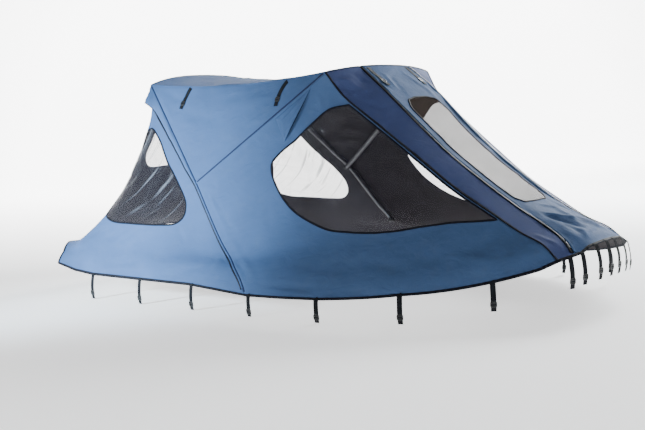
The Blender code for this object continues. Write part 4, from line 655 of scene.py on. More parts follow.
def closed_ring(form, rows, count):
    """Smooth closed line through the rows in even steps; its last point is its first."""
    rows = np.asarray(rows, float)
    wrapped = np.vstack([rows[-3:], rows, rows[:4]])
    span = reach_of(wrapped)
    span /= span[-1]
    ring = evenly(form, along(wrapped, np.linspace(span[3], span[-4], 600)), count)
    ring[-1] = ring[0]
    return ring


def rear_ring(side):
    """Outline of a rear window."""
    return closed_ring(rear, (np.array(REAR_WINDOW) - (0.0, 1.0)), 150) * (1.0, side)


def side_ring():
    """Outline of the side window: a curve aft and a straight edge beside the seam."""
    line = column(np.linspace(0.02, 0.98, 193), 1.0)
    away = sideways(LOWER, line, 1, -1.0)
    edge = LOWER.shift(line, away, SIDE_WINDOW_MARGIN)
    straight = edge[(edge[:, 0] > SIDE_WINDOW[0][0]) & (edge[:, 0] < SIDE_WINDOW[-1][0])]
    rows = np.vstack([straight[0], SIDE_WINDOW[1:-1], straight[-1]])
    left = evenly(lower_side, along(rows, np.linspace(0.0, 1.0, 600)), 150)
    right = evenly(lower_side, straight[::-1], 70)
    return np.vstack([left[:-1], right[:-1], left[:1]])


def middle_ring(form, rows, count):
    """Outline of a window that lies across the middle, from the rows of its port half."""
    half = np.array(rows)
    return closed_ring(form, np.vstack([half * (1.0, -1.0), half[::-1][1:-1]]), count)


def front_ring():
    """Outline of the windscreen's window."""
    return middle_ring(windscreen, FRONT_WINDOW, 190)


def stern_ring():
    """Outline of the window in the middle of the stern."""
    return middle_ring(rear, STERN_WINDOW, 120)


def tangents(p):
    """Unit tangents of a line of points; a line whose ends meet has one tangent there."""
    if np.allclose(p[0], p[-1]):
        ring = np.vstack([p[-2], p, p[1]])
        return unit(ring[2:] - ring[:-2])
    return unit(np.gradient(p, axis=0))


def sideways(panel, ab, axis, sign):
    """Directions on a panel square to a line, towards where the parameter `axis` changes by `sign`."""
    p = panel.form(ab[:, 0], ab[:, 1])
    side = unit(np.cross(tangents(p), panel.normal(ab)))
    inner = np.clip(ab, (0.01, panel.across[0] + 0.01), (0.99, panel.across[1] - 0.01))
    moved = panel.shift(inner, side, 0.001) - inner
    return side if moved[len(ab) // 2, axis] * sign > 0 else -side


def over_panel(panel, ab):
    """Guide over a line on a panel: gives points and outward directions at an offset to one side."""
    side = unit(np.cross(tangents(panel.form(ab[:, 0], ab[:, 1])), panel.normal(ab)))

    def at(offset):
        moved = panel.shift(ab, side, offset)
        return panel.point(moved), panel.normal(moved)
    return at


def over_joint(first, second):
    """Guide over a line that two panels share; each is (panel, line, axis, sign).

    The first panel takes the offsets below zero, the second the rest.
    """
    sides = [(panel, ab, sideways(panel, ab, axis, sign)) for panel, ab, axis, sign in (first, second)]
    mean = unit(first[0].normal(first[1]) + second[0].normal(second[1]))

    def at(offset):
        panel, ab, side = sides[0 if offset < 0 else 1]
        moved = panel.shift(ab, side, abs(offset))
        share = min(1.0, abs(offset) / RIDGE_BLEND)
        return panel.point(moved), unit(mean * (1 - share) + panel.normal(moved) * share)
    return at


# Pieces

class Making:
    """A piece while it is made: points, faces, the place of each face's corners on the cut, and finishes."""

    def __init__(self):
        self.points, self.faces, self.places, self.finishes = [], [], [], []
        self.count = 0

    def add(self, points, faces, places, finish=0):
        """Points with one place each, and one array of faces or several."""
        points = np.asarray(points, float).reshape(-1, 3)
        places = np.asarray(places, float).reshape(-1, 2)
        for group in faces if isinstance(faces, list) else [faces]:
            self.faces += (group + self.count).tolist()
            self.places.append(places[group].reshape(-1, 2))
            self.finishes += [finish] * len(group)
        self.points.append(points)
        self.count += len(points)

    def sheet(self, points, u, v, finish=0, caps=False, wrap=False):
        """A grid of points; u and v are the places of its rows and columns; wrap joins its last column on."""
        if wrap:
            points[:, -1] = points[:, 0]
        n, m = points.shape[:2]
        number = np.arange(n * m).reshape(n, m)
        quads = np.stack([number[:-1, :-1], number[1:, :-1], number[1:, 1:], number[:-1, 1:]], axis=-1)
        u, v = np.asarray(u, float)[:, None], np.asarray(v, float)[None]
        places = np.stack(np.broadcast_arrays(u, v), axis=-1)
        groups = [quads.reshape(-1, 4)]
        if caps:
            groups += [number[:1, :-1], number[-1:, :-1]]
        self.add(points, groups, places, finish)

    def join(self, other):
        """Another making's points and faces after these."""
        self.faces += [[k + self.count for k in face] for face in other.faces]
        self.points += other.points
        self.places += other.places
        self.finishes += other.finishes
        self.count += other.count

    def mirrored(self):
        """The same piece on the port side, its faces turned round."""
        twin = Making()
        twin.points = [p * MIRROR for p in self.points]
        twin.faces = [face[::-1] for face in self.faces]
        cut = np.split(np.vstack(self.places), np.cumsum([len(face) for face in self.faces])[:-1])
        twin.places = [part[::-1] for part in cut]
        twin.finishes, twin.count = self.finishes, self.count
        return twin

    def piece(self, name, finishes, nodes, slot, closed=True):
        """The finished object: doubles merged, closed parts turned outwards, sharp edges marked."""
        mesh = bpy.data.meshes.new(name)
        mesh.from_pydata(np.vstack(self.points).tolist(), [], self.faces)
        layer = mesh.uv_layers.new(name="cut")
        layer.data.foreach_set("uv", np.vstack(self.places).ravel())
        mesh.polygons.foreach_set("material_index", self.finishes)
        work = bmesh.new()
        work.from_mesh(mesh)
        bmesh.ops.remove_doubles(work, verts=work.verts, dist=WELD)
        if closed:
            bmesh.ops.recalc_face_normals(work, faces=work.faces)
        work.to_mesh(mesh)
        work.free()
        mesh.polygons.foreach_set("use_smooth", [True] * len(mesh.polygons))
        mesh.set_sharp_from_angle(angle=SHARP_ANGLE)
        for finish in finishes:
            mesh.materials.append(finish)
        thing = bpy.data.objects.new(name, mesh)
        bpy.context.scene.collection.objects.link(thing)
        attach(thing, "root")
        if nodes:
            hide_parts(*nodes)
        return thing


def strip(making, guide, profile):
    """A closed profile of (offset, height) carried along a guide's line.

    The place of each corner on the cut is the length along the line and the share of the width.
    """
    rows = []
    for offset, height in profile:
        p, n = guide(offset)
        rows.append(p + n * height)
    grid = np.stack(rows + rows[:1], axis=1)
    half = max(abs(offset) for offset, _ in profile)
    closed = np.allclose(grid[0], grid[-1], atol=1e-6)
    v = [offset / half for offset, _ in profile] + [profile[0][0] / half]
    making.sheet(grid, reach_of(grid[:, 0]), v, caps=not closed)


def strips(*rows):
    """A making with one strip for each row of guide and profile."""
    making = Making()
    for guide, profile in rows:
        strip(making, guide, profile)
    return making


def rod(making, path, radius, sides, finish=0):
    """A round bar: a circle carried along a path without turning about it."""
    path = np.asarray(path, float)
    closed = np.allclose(path[0], path[-1], atol=1e-6)
    t = tangents(path)
    side = np.zeros_like(path)
    side[0] = unit(np.cross(t[0], (0.31, 0.17, 0.93)))
    for k in range(1, len(path)):
        side[k] = unit(side[k - 1] - t[k] * (side[k - 1] @ t[k]))
    if closed:
        drift = math.atan2(np.cross(side[-1], side[0]) @ t[0], side[-1] @ side[0])
        share = reach_of(path) / reach_of(path)[-1]
        other = np.cross(t, side)
        side = side * np.cos(drift * share)[:, None] + other * np.sin(drift * share)[:, None]
    other = np.cross(t, side)
    a = np.linspace(0.0, 2 * math.pi, sides + 1)
    grid = path[:, None] + radius * (np.cos(a)[None, :, None] * side[:, None]
                                     + np.sin(a)[None, :, None] * other[:, None])
    making.sheet(grid, reach_of(path), a * radius, finish, caps=not closed, wrap=True)


def turned(making, profile, origin, axis, sides, finish):
    """A profile of (radius, height) turned about an axis."""
    axis = unit(np.asarray(axis, float))
    side = unit(np.cross(axis, (0.31, 0.17, 0.93)))
    other = np.cross(axis, side)
    a = np.linspace(0.0, 2 * math.pi, sides + 1)
    profile = np.asarray(profile, float)
    ring = np.cos(a)[:, None] * side + np.sin(a)[:, None] * other
    grid = np.asarray(origin) + profile[:, :1, None] * ring[None] + profile[:, 1:, None] * axis
    making.sheet(grid, profile[:, 1], a * profile[:, 0].max(), finish, wrap=True)


def carried(path, side, out):
    """Map from a strap's own place (sideways, along, outwards) to the canopy."""
    reach = reach_of(path)

    def place(q):
        q = np.asarray(q, float)
        parts = [straight_between(q[..., 1], reach, line) for line in (path, side, out)]
        return parts[0] + q[..., :1] * parts[1] + q[..., 2:] * parts[2]
    return place, reach[-1]


def superellipse(width, height, power, count):
    """Closed outline: cosine and sine, each to a power, times the half sizes."""
    a = np.linspace(0.0, 2 * math.pi, count + 1)
    x, y = (np.sign(part) * np.abs(part) ** power for part in (np.cos(a), np.sin(a)))
    return np.stack([width * x, height * y], axis=1)


def webbing_strap(making, place, start, end, half, thick, lift):
    """Flat webbing: a superellipse section along the strap, with a small wave along its length."""
    y = np.linspace(start, end, max(8, int((end - start) / 0.004)))
    section = superellipse(half, 0.5 * thick, 0.35, 20)
    x = np.broadcast_to(section[:, 0], (len(y), len(section)))
    z = section[:, 1] + 0.5 * thick + lift + 0.0004 * np.sin(y / 0.011)[:, None]
    grid = place(np.stack([x, np.broadcast_to(y[:, None], x.shape), z], axis=-1))
    making.sheet(grid, y, section[:, 0] / half, caps=True, wrap=True)


def buckle(making, place, middle, half, length, thick, lift):
    """Ladder buckle: a rounded rectangular frame with a rounded section, and two bars across it."""
    outline = superellipse(half - 0.0022, 0.5 * length - 0.0022, 0.42, 44)
    section = superellipse(0.0024, 0.5 * thick, 0.6, 12)
    t = unit(np.vstack([outline[1] - outline[-2], outline[2:] - outline[:-2], outline[1] - outline[-2]]))
    n = np.stack([t[:, 1], -t[:, 0]], axis=1)
    x = outline[:, :1] + n[:, :1] * section[:, 0]
    y = middle + outline[:, 1:] + n[:, 1:] * section[:, 0]
    z = np.broadcast_to(lift + 0.5 * thick + section[:, 1], x.shape)
    grid = place(np.stack([x, y, z], axis=-1))
    grid[-1] = grid[0]
    length_at, width_at = np.linspace(0.0, 0.1, len(grid)), np.linspace(0.0, 0.01, grid.shape[1])
    making.sheet(grid, length_at, width_at, PLASTIC, wrap=True)
    for shift in (-0.16, 0.20):
        x = np.linspace(-half + 0.003, half - 0.003, 9)
        bar = superellipse(0.0022, 0.42 * thick, 0.7, 12)
        y = np.broadcast_to(middle + shift * length + bar[:, 0], (9, len(bar)))
        z = np.broadcast_to(lift + 0.55 * thick + bar[:, 1], (9, len(bar)))
        grid = place(np.stack([np.broadcast_to(x[:, None], y.shape), y, z], axis=-1))
        making.sheet(grid, x, np.linspace(0.0, 0.01, len(bar)), PLASTIC, caps=True, wrap=True)


# Cloth cut along its windows

def inside(points, ring):
    """True where a ray to the side crosses the closed line an odd number of times."""
    x, y = points[:, :1], points[:, 1:]
    x0, y0 = ring[:-1, 0], ring[:-1, 1]
    x1, y1 = ring[1:, 0], ring[1:, 1]
    rise = np.where(y1 == y0, 1.0, y1 - y0)
    return (((y0 > y) != (y1 > y)) & (x < x0 + (y - y0) * (x1 - x0) / rise)).sum(axis=1) % 2 == 1


def ring_distance(panel, ab, ring):
    """Distance of points of a panel to a closed line on it, below zero inside."""
    p, q = panel.form(ab[:, 0], ab[:, 1]), panel.form(ring[:, 0], ring[:, 1])
    span = q[1:] - q[:-1]
    size = np.maximum((span ** 2).sum(1), 1e-12)
    best = np.full(len(p), 9.0)
    for start in range(0, len(p), 4000):
        rel = p[start:start + 4000, None] - q[None, :-1]
        t = np.clip((rel * span).sum(2) / size, 0.0, 1.0)
        best[start:start + 4000] = np.linalg.norm(rel - t[..., None] * span, axis=2).min(axis=1)
    return np.where(inside(ab, ring), -best, best)


def cut_out(grid, field):
    """Faces over the part of a grid where the field is above zero; cells on its edge are cut across."""
    rows, columns = field.shape
    keep = field >= 0
    number = np.arange(rows * columns).reshape(rows, columns)

    def crossing(a, b, fa, fb):
        t = np.clip(fa / np.where(fa == fb, 1.0, fa - fb), 0.0, 1.0)
        return a + (b - a) * t[..., None]

    down = crossing(grid[:-1], grid[1:], field[:-1], field[1:])
    side = crossing(grid[:, :-1], grid[:, 1:], field[:, :-1], field[:, 1:])
    down_number = number.size + np.arange(down[..., 0].size).reshape(rows - 1, columns)
    side_number = number.size + down_number.size + np.arange(side[..., 0].size).reshape(rows, columns - 1)
    corner = (number[:-1, :-1], number[1:, :-1], number[1:, 1:], number[:-1, 1:])
    edge = (down_number[:, :-1], side_number[1:], down_number[:, 1:], side_number[:-1])
    kept = (keep[:-1, :-1], keep[1:, :-1], keep[1:, 1:], keep[:-1, 1:])
    faces = []
    for case in range(1, 16):
        bits = [bool(case >> k & 1) for k in range(4)]
        mask = np.logical_and.reduce([kept[k] == bits[k] for k in range(4)])
        if not mask.any():
            continue
        turn = []
        for k in range(4):
            if bits[k]:
                turn.append(corner[k][mask])
            if bits[k] != bits[(k + 1) % 4]:
                turn.append(edge[k][mask])
        faces.append(np.stack(turn, axis=1))
    return np.concatenate([grid.reshape(-1, 2), down.reshape(-1, 2), side.reshape(-1, 2)]), faces


def cloth_faces(panel, step, rings=(), within=None, sink=0.0):
    """A panel's cloth outside its rings, or its film within one ring, as a making; places are metres."""
    a = np.linspace(0.0, 1.0, 41)
    low, high = panel.across
    length = reach_of(panel.form(a, np.full(41, 0.5 * (low + high))))[-1]
    width = reach_of(panel.form(np.full(41, 0.6), low + (high - low) * a))[-1]
    down = np.linspace(0.0, 1.0, round(length / step) + 1)
    across = np.linspace(low, high, round(width / step) + 1)
    if within is not None:
        least, most = within.min(axis=0) - FILM_MARGIN, within.max(axis=0) + FILM_MARGIN
        down = np.linspace(max(0.0, least[0]), min(1.0, most[0]), FILM_ROWS)
        across = np.linspace(max(low, least[1]), min(high, most[1]), FILM_COLUMNS)
    grid = np.stack(np.meshgrid(down, across, indexing="ij"), axis=-1)
    flat = grid.reshape(-1, 2)
    field = np.ones(len(flat))
    for ring in rings:
        field = np.minimum(field, ring_distance(panel, flat, ring))
    if within is not None:
        field = -ring_distance(panel, flat, within)
    ab, faces = cut_out(grid, field.reshape(grid.shape[:2]))
    used, back = np.unique(np.concatenate([face.ravel() for face in faces]), return_inverse=True)
    ab = ab[used]
    cuts = np.cumsum([face.size for face in faces])[:-1]
    faces = [part.reshape(face.shape) for part, face in zip(np.split(back.ravel(), cuts), faces)]
    points = panel.point(ab)
    if sink:
        points = points - panel.normal(ab) * sink
    big = max(faces, key=len)
    p = points[big[:, :3]]
    facing = (np.cross(p[:, 1] - p[:, 0], p[:, 2] - p[:, 0]) * panel.normal(ab[big[:, 0]])).sum()
    if facing < 0:
        faces = [face[:, ::-1] for face in faces]
    making = Making()
    making.add(points, faces, ab[:, ::-1] * (width / (high - low), length))
    return making


# Finishes: metres between threads, stitches; the colour that dust adds, and the pale colour of the film's
# haze, scratches and painted streaks of reflected light

CLOTH_PITCH, TRIM_PITCH = 0.0014, 0.0010
STITCH_PITCH, STITCH_ROW = 0.0045, 0.72
DUST = (0.20, 0.24, 0.30, 1.0)
GLINT_AND_HAZE = (0.16, 0.18, 0.22, 1.0)


class Finish:
    """A material while its nodes are laid out."""

    def __init__(self, name):
        self.material = bpy.data.materials.new(name)
        self.material.use_nodes = True
        self.nodes = self.material.node_tree.nodes
        self.shader = self.nodes["Principled BSDF"]

    def give(self, socket, value):
        """A link for a socket, or its number."""
        if isinstance(value, bpy.types.NodeSocket):
            self.material.node_tree.links.new(value, socket)
        else:
            socket.default_value = value

    def node(self, kind, sockets=(), **settings):
        """A node with its settings and sockets."""
        made = self.nodes.new("ShaderNode" + kind)
        for key, value in settings.items():
            setattr(made, key, value)
        for key, value in dict(sockets).items():
            self.give(made.inputs[key], value)
        return made

    def place(self, which, scale=(1.0, 1.0, 1.0), turn=0.0, first=(1.0, 1.0, 1.0)):
        """Object or UV coordinates: scaled by `first`, turned in their plane, then scaled."""
        source = self.node("TexCoord").outputs[which]
        sockets = {"Vector": source, "Scale": first, "Rotation": (0.0, 0.0, turn)}
        turned_place = self.node("Mapping", sockets).outputs[0]
        return self.node("Mapping", {"Vector": turned_place, "Scale": scale}).outputs[0]

    def noise(self, place, scale, detail=3.0, distortion=0.0, rough=0.5):
        """Noise from 0 to 1."""
        sockets = {"Vector": place, "Scale": scale, "Detail": detail, "Distortion": distortion,
                   "Roughness": rough}
        return self.node("TexNoise", sockets).outputs[0]

    def between(self, value, low, high, new_low=0.0, new_high=1.0):
        """A value's range mapped to a new one and clamped."""
        sockets = {0: value, 1: low, 2: high, 3: new_low, 4: new_high}
        return self.node("MapRange", sockets).outputs[0]

    def surface(self, base, rough, gloss):
        """The shader's colour, roughness and gloss, each a link or a number."""
        for socket, value in (("Base Color", base), ("Roughness", rough), ("Specular IOR Level", gloss)):
            self.give(self.shader.inputs[socket], value)

    def math(self, operation, a, b=0.0):
        """One sum on two numbers."""
        return self.node("Math", {0: a, 1: b}, operation=operation).outputs[0]

    def mix(self, share, a, b):
        """Two colours mixed."""
        return self.node("Mix", {0: share, 6: a, 7: b}, data_type="RGBA").outputs[2]

    def bump(self, heights):
        """Bumps one over another: each is a height from 0 to 1 and its depth in metres."""
        normal = None
        for height, depth in heights:
            made = self.node("Bump", {"Height": height, "Distance": depth, "Strength": 1.0})
            if normal is not None:
                self.give(made.inputs["Normal"], normal)
            normal = made.outputs[0]
        self.give(self.shader.inputs["Normal"], normal)

    def threads(self, pitch, which="UV", turn=0.0):
        """A weave: two crossing sine bands, the higher of the two."""
        place = self.place(which, turn=turn)
        sockets = {"Vector": place, "Scale": math.tau / 20 / pitch}
        bands = [self.node("TexWave", sockets, bands_direction=d).outputs[1] for d in "XY"]
        return self.math("MAXIMUM", *bands)

    def stitches(self, pitch, row):
        """Rows of thread: high near plus and minus `row` of the width, in dashes along the length."""
        split = self.node("SeparateXYZ", {0: self.node("TexCoord").outputs["UV"]})
        off = self.math("ABSOLUTE", self.math("SUBTRACT", self.math("ABSOLUTE", split.outputs[1]), row))
        line = self.between(off, 0.02, 0.07, 1.0, 0.0)
        wave = self.math("SINE", self.math("MULTIPLY", split.outputs[0], math.tau / pitch))
        return self.math("MULTIPLY", line, self.between(wave, -0.5, 0.0))


def rgba(colour, share=1.0):
    """A colour with its light scaled."""
    return tuple(c * share for c in colour) + (1.0,)


def cloth_finish(name, colour):
    """Coated polyester: a fine weave, slow colour change, dusty patches and shallow creases."""
    f = Finish(name)
    here = f.place("Object")
    slow = f.between(f.noise(here, 2.1, 3.0, 0.6), 0.30, 0.70)
    dust = f.between(f.noise(here, 17.0, 5.0, 0.3), 0.52, 0.80)
    weave = f.threads(CLOTH_PITCH)
    streaks = f.between(f.noise(f.place("UV", (0.7, 9.0, 1.0)), 3.0, 4.0), 0.35, 0.75)
    base = f.mix(slow, rgba(colour, 0.90), rgba(colour, 1.09))
    base = f.mix(f.math("MULTIPLY", streaks, 0.10), base, rgba(colour, 1.35))
    base = f.mix(f.math("MULTIPLY", dust, 0.06), base, DUST)
    f.surface(base, f.between(dust, 0.0, 1.0, 0.66, 0.78), 0.05)
    creases = f.noise(f.place("Object", (1.0, 1.0, 1.6)), 11.0, 3.0, 0.8)
    fine = f.noise(here, 46.0, 3.0, 0.5)
    f.bump([(creases, 0.0035), (fine, 0.0006), (weave, 0.00010)])
    return f.material


def lining_finish(name, colour):
    """The cloth's inner face: nearly black, with slow changes of tone and a dull gloss."""
    f = Finish(name)
    slow = f.between(f.noise(f.place("Object"), 3.0, 4.0, 0.4), 0.3, 0.7)
    base = f.mix(slow, rgba(colour, 0.75), rgba(colour, 1.35))
    f.surface(base, f.between(slow, 0.0, 1.0, 0.62, 0.74), 0.15)
    f.bump([(f.noise(f.place("Object"), 10.0, 3.0, 0.8), 0.003), (f.threads(CLOTH_PITCH), 0.0001)])
    return f.material


def film_finish(name, colour, solid, streak, turn, gloss):
    """Clear vinyl film: it dims what is behind, with soft waves, painted streaks of reflected light, a pale
    haze and fine scratches.
    """
    f = Finish(name)
    waves = f.noise(f.place("Object", (1.0, 1.0, 1.4)), 7.0, 2.0, 1.2)
    long = f.noise(f.place("UV", (27.0, 1.0, 1.0), turn), 1.0, 2.0, 0.5)
    # painted reflection: pale streaks along the film where its waves would catch the light
    streaks = f.between(long, 0.56, 0.66)
    thin = f.noise(f.place("UV", (60.0, 2.2, 1.0), turn + 0.06), 1.0, 2.0, 0.3)
    hairs = f.between(thin, 0.64, 0.72)
    haze = f.between(f.noise(f.place("UV"), 9.0, 5.0, 0.8), 0.50, 0.78)
    # the pale mix: painted reflection in the streaks, with real scratches and haze
    light = f.math("MAXIMUM", f.math("MULTIPLY", streaks, streak), f.math("MULTIPLY", hairs, 0.6 * streak))
    light = f.math("MAXIMUM", light, f.math("MULTIPLY", haze, 0.12))
    f.surface(f.mix(light, rgba(colour), GLINT_AND_HAZE), f.between(haze, 0.0, 1.0, 0.10, 0.22), gloss)
    f.give(f.shader.inputs["Alpha"], f.math("ADD", f.math("MULTIPLY", light, 0.30), solid))
    f.bump([(waves, 0.006), (long, 0.003)])
    return f.material


def trim_finish(name, colour):
    """Woven binding tape with two rows of stitches along its edges."""
    f = Finish(name)
    stitch = f.stitches(STITCH_PITCH, STITCH_ROW)
    wear = f.between(f.noise(f.place("Object"), 24.0, 5.0), 0.45, 0.80)
    base = f.mix(stitch, f.mix(wear, rgba(colour), rgba(colour, 1.6)), rgba(colour, 3.0))
    f.surface(base, f.between(wear, 0.0, 1.0, 0.66, 0.80), 0.12)
    f.bump([(f.threads(TRIM_PITCH, "Object", 0.6), 0.00012), (stitch, 0.0004)])
    return f.material


def webbing_finish(name, colour):
    """Strap webbing: slanted ribs and worn edges."""
    f = Finish(name)
    ribs = f.node("TexWave", {"Vector": f.place("UV", turn=0.7, first=(1.0, 0.0125, 1.0)), "Scale": 170.0,
                              "Distortion": 0.4}, bands_direction="X").outputs[1]
    wear = f.between(f.noise(f.place("Object"), 40.0, 4.0), 0.45, 0.8)
    base = f.mix(wear, rgba(colour), rgba(colour, 1.7))
    f.surface(base, f.between(wear, 0.0, 1.0, 0.65, 0.80), 0.12)
    f.bump([(ribs, 0.00025)])
    return f.material


def plastic_finish(name, colour):
    """Moulded plastic: fine grain and slight scuffs."""
    f = Finish(name)
    grain = f.noise(f.place("Object"), 900.0, 2.0)
    scuffs = f.between(f.noise(f.place("Object", (1.0, 1.0, 3.0)), 60.0, 4.0, 0.6), 0.55, 0.75)
    base = f.mix(scuffs, rgba(colour), rgba(colour, 3.0))
    f.surface(base, f.between(scuffs, 0.0, 1.0, 0.34, 0.55), 0.5)
    f.bump([(grain, 0.00006)])
    return f.material


def metal_finish(name, colour):
    """Anodised tube: drawn lines along it, dull patches and small marks."""
    f = Finish(name)
    drawn = f.noise(f.place("UV", (6.0, 900.0, 1.0)), 1.0, 3.0)
    dull = f.between(f.noise(f.place("Object"), 9.0, 4.0, 0.4), 0.40, 0.75)
    base = f.mix(dull, rgba(colour), rgba(colour, 0.72))
    f.surface(base, f.between(drawn, 0.3, 0.7, 0.26, 0.42), 0.5)
    f.give(f.shader.inputs["Metallic"], 0.85)
    f.bump([(drawn, 0.00005)])
    return f.material


def stage_finish(name, colour):
    """Plain matt ground with hardly any change of tone, which glows like a light box away from its middle."""
    f = Finish(name)
    slow = f.noise(f.place("Object"), 0.8, 2.0)
    here = f.place("Object")
    near = f.node("VectorMath", {0: here}, operation="LENGTH").outputs["Value"]
    far = f.node("VectorMath", {0: here, 1: BRIGHT_POINT}, operation="DISTANCE").outputs["Value"]
    low, middle, high = STAGE_GLOW
    glow = f.math("MAXIMUM", f.between(near, 4.0, 7.0, middle, low), f.between(far, 5.0, 12.0, high, low))
    f.surface(f.mix(slow, rgba(colour, 0.985), rgba(colour)), 0.9, 0.1)
    f.give(f.shader.inputs["Emission Strength"], glow)
    f.give(f.shader.inputs["Emission Color"], (1.0, 1.0, 1.0, 1.0))
    return f.material


def finish(name):
    """A material by its name, made the first time it is asked for."""
    found = bpy.data.materials.get("canopy_" + name)
    if found:
        return found
    c = bpy.context.scene.canopy_colours
    makers = {
        "blue": lambda n: cloth_finish(n, c.cloth),
        # painted shade: the blue cloth's finish in its darker shaded colour, for the bow cheeks
        "dark_blue": lambda n: cloth_finish(n, c.shaded_cloth),
        "lining": lambda n: lining_finish(n, c.lining),
        "film_rear": lambda n: film_finish(n, c.film, 0.22, 1.0, 1.02, 0.35),
        "film_side": lambda n: film_finish(n, c.film, 0.24, 0.12, 0.9, 0.35),
        "film_front": lambda n: film_finish(n, c.screen_film, 0.57, 0.05, 0.2, 0.0),
        "trim": lambda n: trim_finish(n, c.trim),
        # seam tape at three tenths of the shaded cloth's colour: a real dark seam; along the main hoop's leg
        # its darkness also paints the shade in the groove beside the hoop
        "seam": lambda n: trim_finish(n, tuple(0.3 * x for x in c.shaded_cloth)),
        "webbing": lambda n: webbing_finish(n, c.webbing),
        "plastic": lambda n: plastic_finish(n, c.plastic),
        "metal": lambda n: metal_finish(n, c.metal),
        "stage": lambda n: stage_finish(n, c.stage),
    }
    return makers[name]("canopy_" + name)


def looks(*names):
    """Materials by their names, as the list of a piece."""
    return [finish(name) for name in names]


def both_sides(making, name, finishes, nodes, slot, closed=True):
    """A starboard piece and its mirror image; `nodes` are names without their side."""
    found = []
    for side in ("starboard", "port"):
        here = making if side == "starboard" else making.mirrored()
        found.append(here.piece(f"{name}_{side}", finishes, [f"{n}_{side}" for n in nodes], slot, closed))
    return found


def lay(making, name, finishes, nodes, slot, thickness, twin, offset=-1.0):
    """A sheet, or one on each side, with its thickness; the inner faces take the last finish."""
    if twin:
        things = both_sides(making, name, finishes, nodes, slot, closed=False)
    else:
        things = [making.piece(name, finishes, nodes, slot, closed=False)]
    for thing in things:
        solid = thing.modifiers.new("thickness", "SOLIDIFY")
        solid.thickness = thickness
        solid.offset = offset
        solid.material_offset = len(finishes) - 1


# Operators

class CANOPY_OT_cloth(Operator):
    """Lay the cloth panels: each form lifted by its folds and cut along its windows."""
    bl_idname = "canopy.cloth"
    bl_label = "Cloth panels"

    def execute(self, context):
        sizes = context.scene.canopy_sizes
        rear_rings = [rear_ring(1.0), rear_ring(-1.0), stern_ring()]
        for name, panel, rings, outer, node, slot, twin in (
                ("rear_cloth", REAR, rear_rings, "blue", "rear_panel", "cloth", False),
                ("roof_cloth", ROOF, [], "blue", "roof_panel", "cloth", False),
                ("windscreen_cloth", SCREEN, [front_ring()], "blue", "windscreen_panel", "cloth_dark", False),
                ("upper_cloth", UPPER, [], "blue", "upper_side", "cloth", True),
                ("lower_cloth", LOWER, [side_ring()], "blue", "lower_side", "cloth", True),
                # the bow cheeks take the shaded copy of the blue cloth, which paints the shade on them
                ("cheek_cloth", CHEEK, [], "dark_blue", "bow_cheek", "cloth_dark", True)):
            making = cloth_faces(panel, sizes.step, rings)
            lay(making, name, looks(outer, "lining"), [node], slot, sizes.cloth, twin)
        return {"FINISHED"}


class CANOPY_OT_films(Operator):
    """Fill the windows with clear film, in the same surface as the cloth and a little inside it."""
    bl_idname = "canopy.films"
    bl_label = "Window films"

    def execute(self, context):
        sizes = context.scene.canopy_sizes
        for name, panel, ring, film, nodes, twin in (
                ("rear_film", REAR, rear_ring(1.0), "film_rear", ["rear_window"], True),
                ("side_film", LOWER, side_ring(), "film_side", ["side_window"], True),
                ("stern_film", REAR, stern_ring(), "film_side", [], False),
                ("windscreen_film", SCREEN, front_ring(), "film_front", ["windscreen_window"], False)):
            making = cloth_faces(panel, sizes.step, within=ring, sink=FILM_SINK)
            lay(making, name, looks(film), nodes, "film", sizes.film, twin)
        return {"FINISHED"}


def profile_of(table, half, height):
    """Profile from a table of shares of its half width and its height."""
    return [(half * a, height * b) for a, b in table]


class CANOPY_OT_piping(Operator):
    """Bind the windows and the seams of the bow: a tape or cord profile carried along each line."""
    bl_idname = "canopy.piping"
    bl_label = "Piping"

    def execute(self, context):
        sizes = context.scene.canopy_sizes
        profile = profile_of(DOME, sizes.piping, sizes.piping_height)
        trim = looks("trim")
        for name, panel, ring, node in (("rear_tape", REAR, rear_ring(1.0), "rear_piping"),
                                        ("side_tape", LOWER, side_ring(), "side_piping")):
            both_sides(strips((over_panel(panel, ring), profile)), name, trim, [node], "trim")
        for name, panel, ring, nodes in (("stern_tape", REAR, stern_ring(), []),
                                         ("windscreen_tape", SCREEN, front_ring(), ["windscreen_piping"])):
            strips((over_panel(panel, ring), profile)).piece(name, trim, nodes, "trim")
        at = np.linspace(0.002, 0.990, 240)
        guide = over_joint((LOWER, column(at, 1.0), 1, -1.0), (CHEEK, column(at, 0.0), 1, 1.0))
        making = strips((guide, profile_of(CORD, SEAM_HALF, SEAM_HEIGHT)))
        both_sides(making, "seam_cord", trim, ["seam_piping"], "trim")
        return {"FINISHED"}


